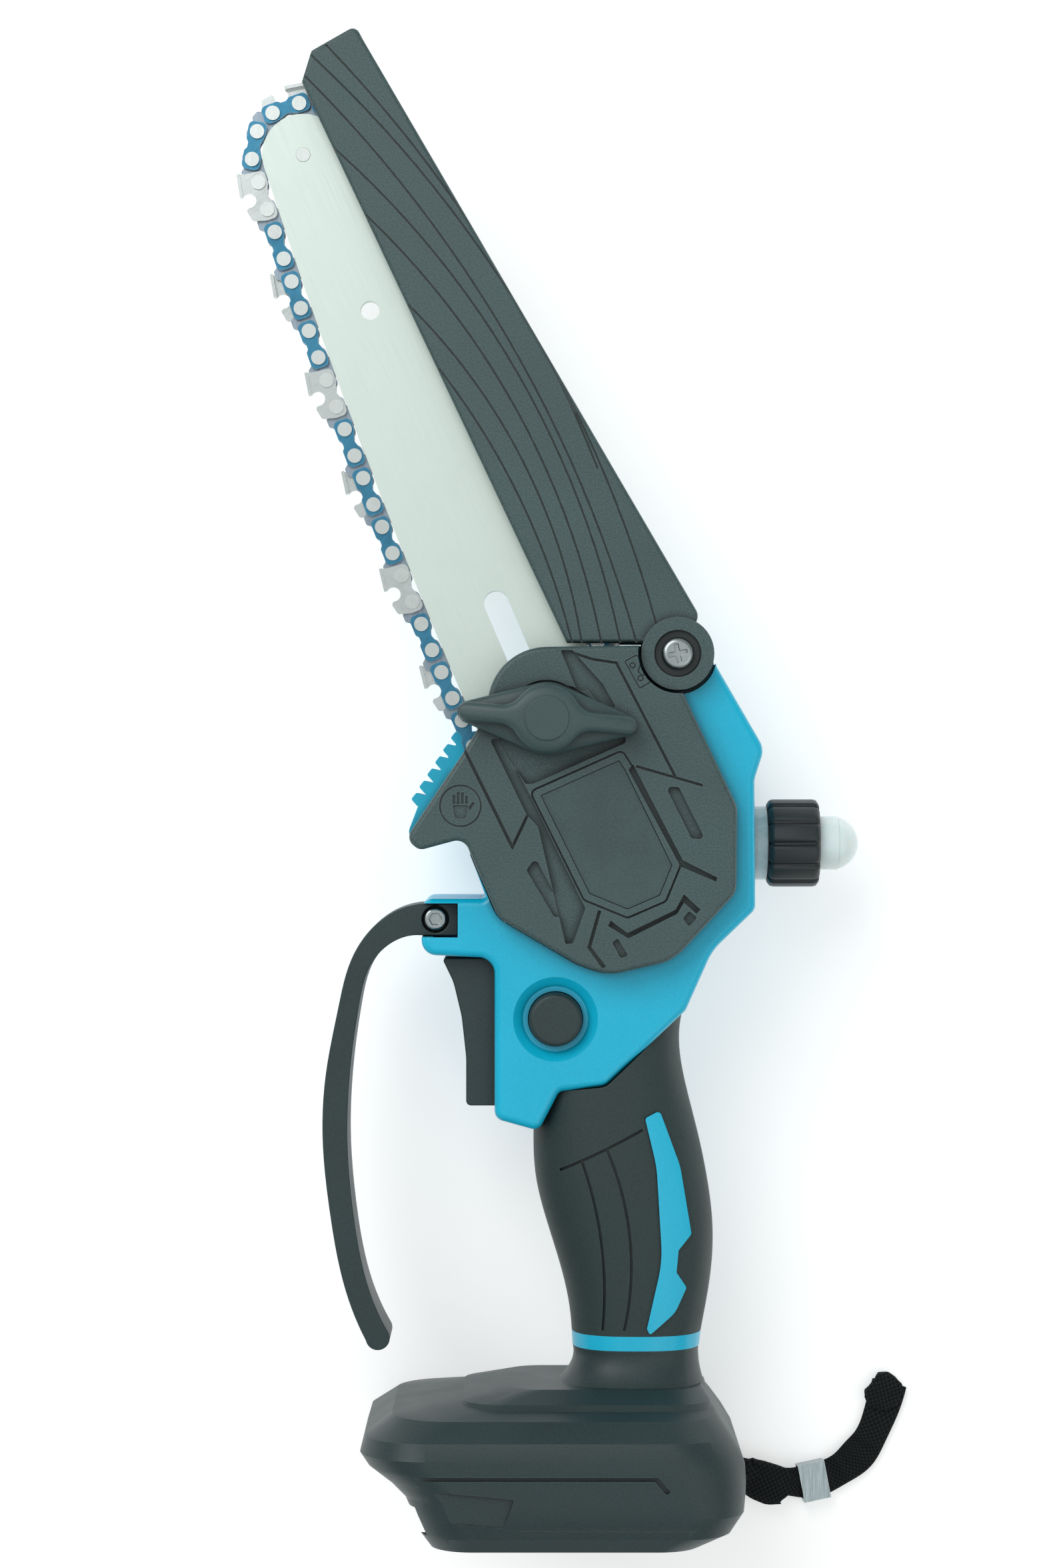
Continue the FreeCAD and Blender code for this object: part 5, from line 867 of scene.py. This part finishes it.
class SAW_OT_knob(bpy.types.Operator):
    """Wing knob: crowned ridge on a wider skirt, with a sunk disc"""

    bl_idname = "saw.knob"
    bl_label = "Wing knob"

    def execute(self, context):
        low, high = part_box("knob_wing")
        washer_low, washer_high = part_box("knob_washer")
        axis = (Vector(washer_low) + Vector(washer_high)) / 2
        half, hub = sizes().knob_half, sizes().knob_hub
        waist = high[2] - 0.0052
        winged_block(
            "knob_ridge", ridge_half, (high[2] - 0.0002, waist - 0.002, 0.0019, 0.0022), 0.0,
            axis, half, hub,
        )
        winged_block(
            "knob_skirt", skirt_half, (waist, low[2], 0.0014, 0.0010), 0.0002,
            axis, half, hub + 0.0002,
        )
        bm = bmesh.new()
        bmesh.ops.create_cone(
            bm, cap_ends=True, segments=64, radius1=0.0053, radius2=0.0053, depth=0.0012
        )
        bmesh.ops.translate(bm, verts=bm.verts, vec=(axis.x, axis.y, high[2] - 0.00062))
        caps = [e for e in bm.edges if abs(e.verts[0].co.z - e.verts[1].co.z) < 1e-7]
        bmesh.ops.bevel(
            bm, geom=caps, offset=0.00025, segments=3, profile=0.5, affect="EDGES", material=-1
        )
        disc = object_from(bm, "knob_disc", "knob")
        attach(disc, "knob")
        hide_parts("knob_wing")
        dress("knob_insert", "steel")
        dress("knob_washer", "steel")
        return {"FINISHED"}


# ------------------------------------------------------------------ oil, guard, trigger
RIBS = 12


class SAW_OT_oil_filler(bpy.types.Operator):
    """Oil neck, ribbed collar and soft bulb"""

    bl_idname = "saw.oil_filler"
    bl_label = "Oil filler"

    def execute(self, context):
        low, high = (Vector(corner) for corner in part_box("oil_collar"))
        middle = (low + high) / 2
        outer = (high.y - low.y) / 2
        bore = outer - 0.0024
        long = high.x - low.x
        ends = (
            (bore, 0.0), (0.90 * outer, 0.0), (0.98 * outer, 0.05), (outer, 0.12),
            (outer, 0.88), (0.98 * outer, 0.95), (0.90 * outer, 1.0), (bore, 1.0),
        )
        bm = bmesh.new()
        bmesh.ops.create_circle(bm, segments=RIBS * 12, radius=1.0)
        edges = bm.edges[:]
        rings = [bm.verts[:]]
        for _ in ends[1:]:
            grown = bmesh.ops.extrude_edge_only(bm, edges=edges)
            edges = [g for g in grown["geom"] if isinstance(g, bmesh.types.BMEdge)]
            rings.append([g for g in grown["geom"] if isinstance(g, bmesh.types.BMVert)])
        bmesh.ops.bridge_loops(bm, edges=[e for e in bm.edges if e.is_boundary])
        for (radius, share), ring_verts in zip(ends, rings):
            for vertex in ring_verts:
                angle = math.atan2(vertex.co.y, vertex.co.x)
                dip = max(0.0, math.cos(RIBS * angle)) ** 6
                reach = radius - (0.0011 * dip if radius > bore else 0.0)
                vertex.co = (
                    low.x + long * share,
                    middle.y + reach * math.cos(angle),
                    middle.z + reach * math.sin(angle),
                )
        bmesh.ops.recalc_face_normals(bm, faces=bm.faces)
        for face in bm.faces:
            face.smooth = True
        collar = object_from(bm, "collar_ribbed", "cap")
        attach(collar, frame_body("oil_collar"))
        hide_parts("oil_collar")
        dress("oil_bulb", "bulb")
        dress("oil_tank", "neck")
        dress("oil_tube", "neck")
        dress("oil_gasket", "seal")
        return {"FINISHED"}


class SAW_OT_hand_guard(bpy.types.Operator):
    """Hand guard and its screw"""

    bl_idname = "saw.hand_guard"
    bl_label = "Hand guard"

    def execute(self, context):
        softened("hand_guard", "foot", sizes().guard_edge, segments=3)
        softened("guard_screw", "screw", sizes().metal_edge)
        return {"FINISHED"}


class SAW_OT_trigger(bpy.types.Operator):
    """Trigger, lock button and the parts behind them"""

    bl_idname = "saw.trigger"
    bl_label = "Trigger"

    def execute(self, context):
        softened("trigger", "foot", 0.0010, segments=3)
        softened("lock_button", "foot", 0.0004)
        sprung("trigger_spring")
        sprung("lock_spring")
        dress("switch_body", "cap")
        return {"FINISHED"}


class SAW_OT_grip(bpy.types.Operator):
    """Rubber grip halves and their inlays"""

    bl_idname = "saw.grip"
    bl_label = "Grip"

    def execute(self, context):
        softened("grip_near", "rubber", 0.0003)
        softened("grip_far", "rubber", 0.0003)
        softened("grip_inlays", "shell", 0.0004)
        return {"FINISHED"}


class SAW_OT_foot(bpy.types.Operator):
    """Battery foot, terminals and board"""

    bl_idname = "saw.foot"
    bl_label = "Battery foot"

    def execute(self, context):
        softened("foot_near", "foot", 0.0005, angle=20.0, segments=3)
        softened("foot_far", "foot", 0.0005, angle=20.0, segments=3)
        dress("terminal_block", "cap")
        dress("terminal_blades", "brass")
        dress("circuit_board", "board")
        dress("power_leads", "leads")
        return {"FINISHED"}


class SAW_OT_drive(bpy.types.Operator):
    """Motor, gears, shaft and sprocket"""

    bl_idname = "saw.drive"
    bl_label = "Drive"

    def execute(self, context):
        for node, material in (
            ("motor_can", "can"), ("motor_end_bell", "plate_alloy"), ("motor_rotor", "steel"),
            ("motor_pinion", "steel"), ("motor_screws", "screw"), ("gear_plate", "plate_alloy"),
            ("drive_gear", "steel"), ("output_shaft", "steel"), ("shaft_bearings", "bronze"),
            ("drive_sprocket", "steel"), ("sprocket_clip", "steel"),
        ):
            dress(node, material)
        return {"FINISHED"}


class SAW_PT_panel(bpy.types.Panel):
    """Buttons for each piece of the saw"""

    bl_label = "Pruning Saw"
    bl_idname = "SAW_PT_panel"
    bl_space_type = "VIEW_3D"
    bl_region_type = "UI"
    bl_category = "Pruning Saw"

    def draw(self, context):
        column = self.layout.column()
        for step in STEPS:
            column.operator("saw." + step)
        for owner in (context.scene.saw_sizes, context.scene.saw_colours):
            for name in owner.__annotations__:
                column.prop(owner, name)


STEPS = (
    "stage", "wrist_strap", "casing", "side_cover", "hood", "guide_bar", "chain", "knob",
    "oil_filler", "hand_guard", "trigger", "grip", "foot", "drive",
)
CLASSES = (
    SawSizes, SawColours, SAW_OT_stage, SAW_OT_wrist_strap, SAW_OT_casing, SAW_OT_side_cover,
    SAW_OT_hood, SAW_OT_guide_bar, SAW_OT_chain, SAW_OT_knob, SAW_OT_oil_filler,
    SAW_OT_hand_guard, SAW_OT_trigger, SAW_OT_grip, SAW_OT_foot, SAW_OT_drive, SAW_PT_panel,
)


def register():
    """Adds the classes and the settings."""
    for each in CLASSES:
        bpy.utils.register_class(each)
    bpy.types.Scene.saw_sizes = PointerProperty(type=SawSizes)
    bpy.types.Scene.saw_colours = PointerProperty(type=SawColours)


def unregister():
    """Removes the settings and the classes."""
    del bpy.types.Scene.saw_colours
    del bpy.types.Scene.saw_sizes
    for each in reversed(CLASSES):
        bpy.utils.unregister_class(each)


def main():
    """Makes every piece in order."""
    register()
    for step in STEPS:
        getattr(bpy.ops.saw, step)()


if __name__ == "__main__":
    main()
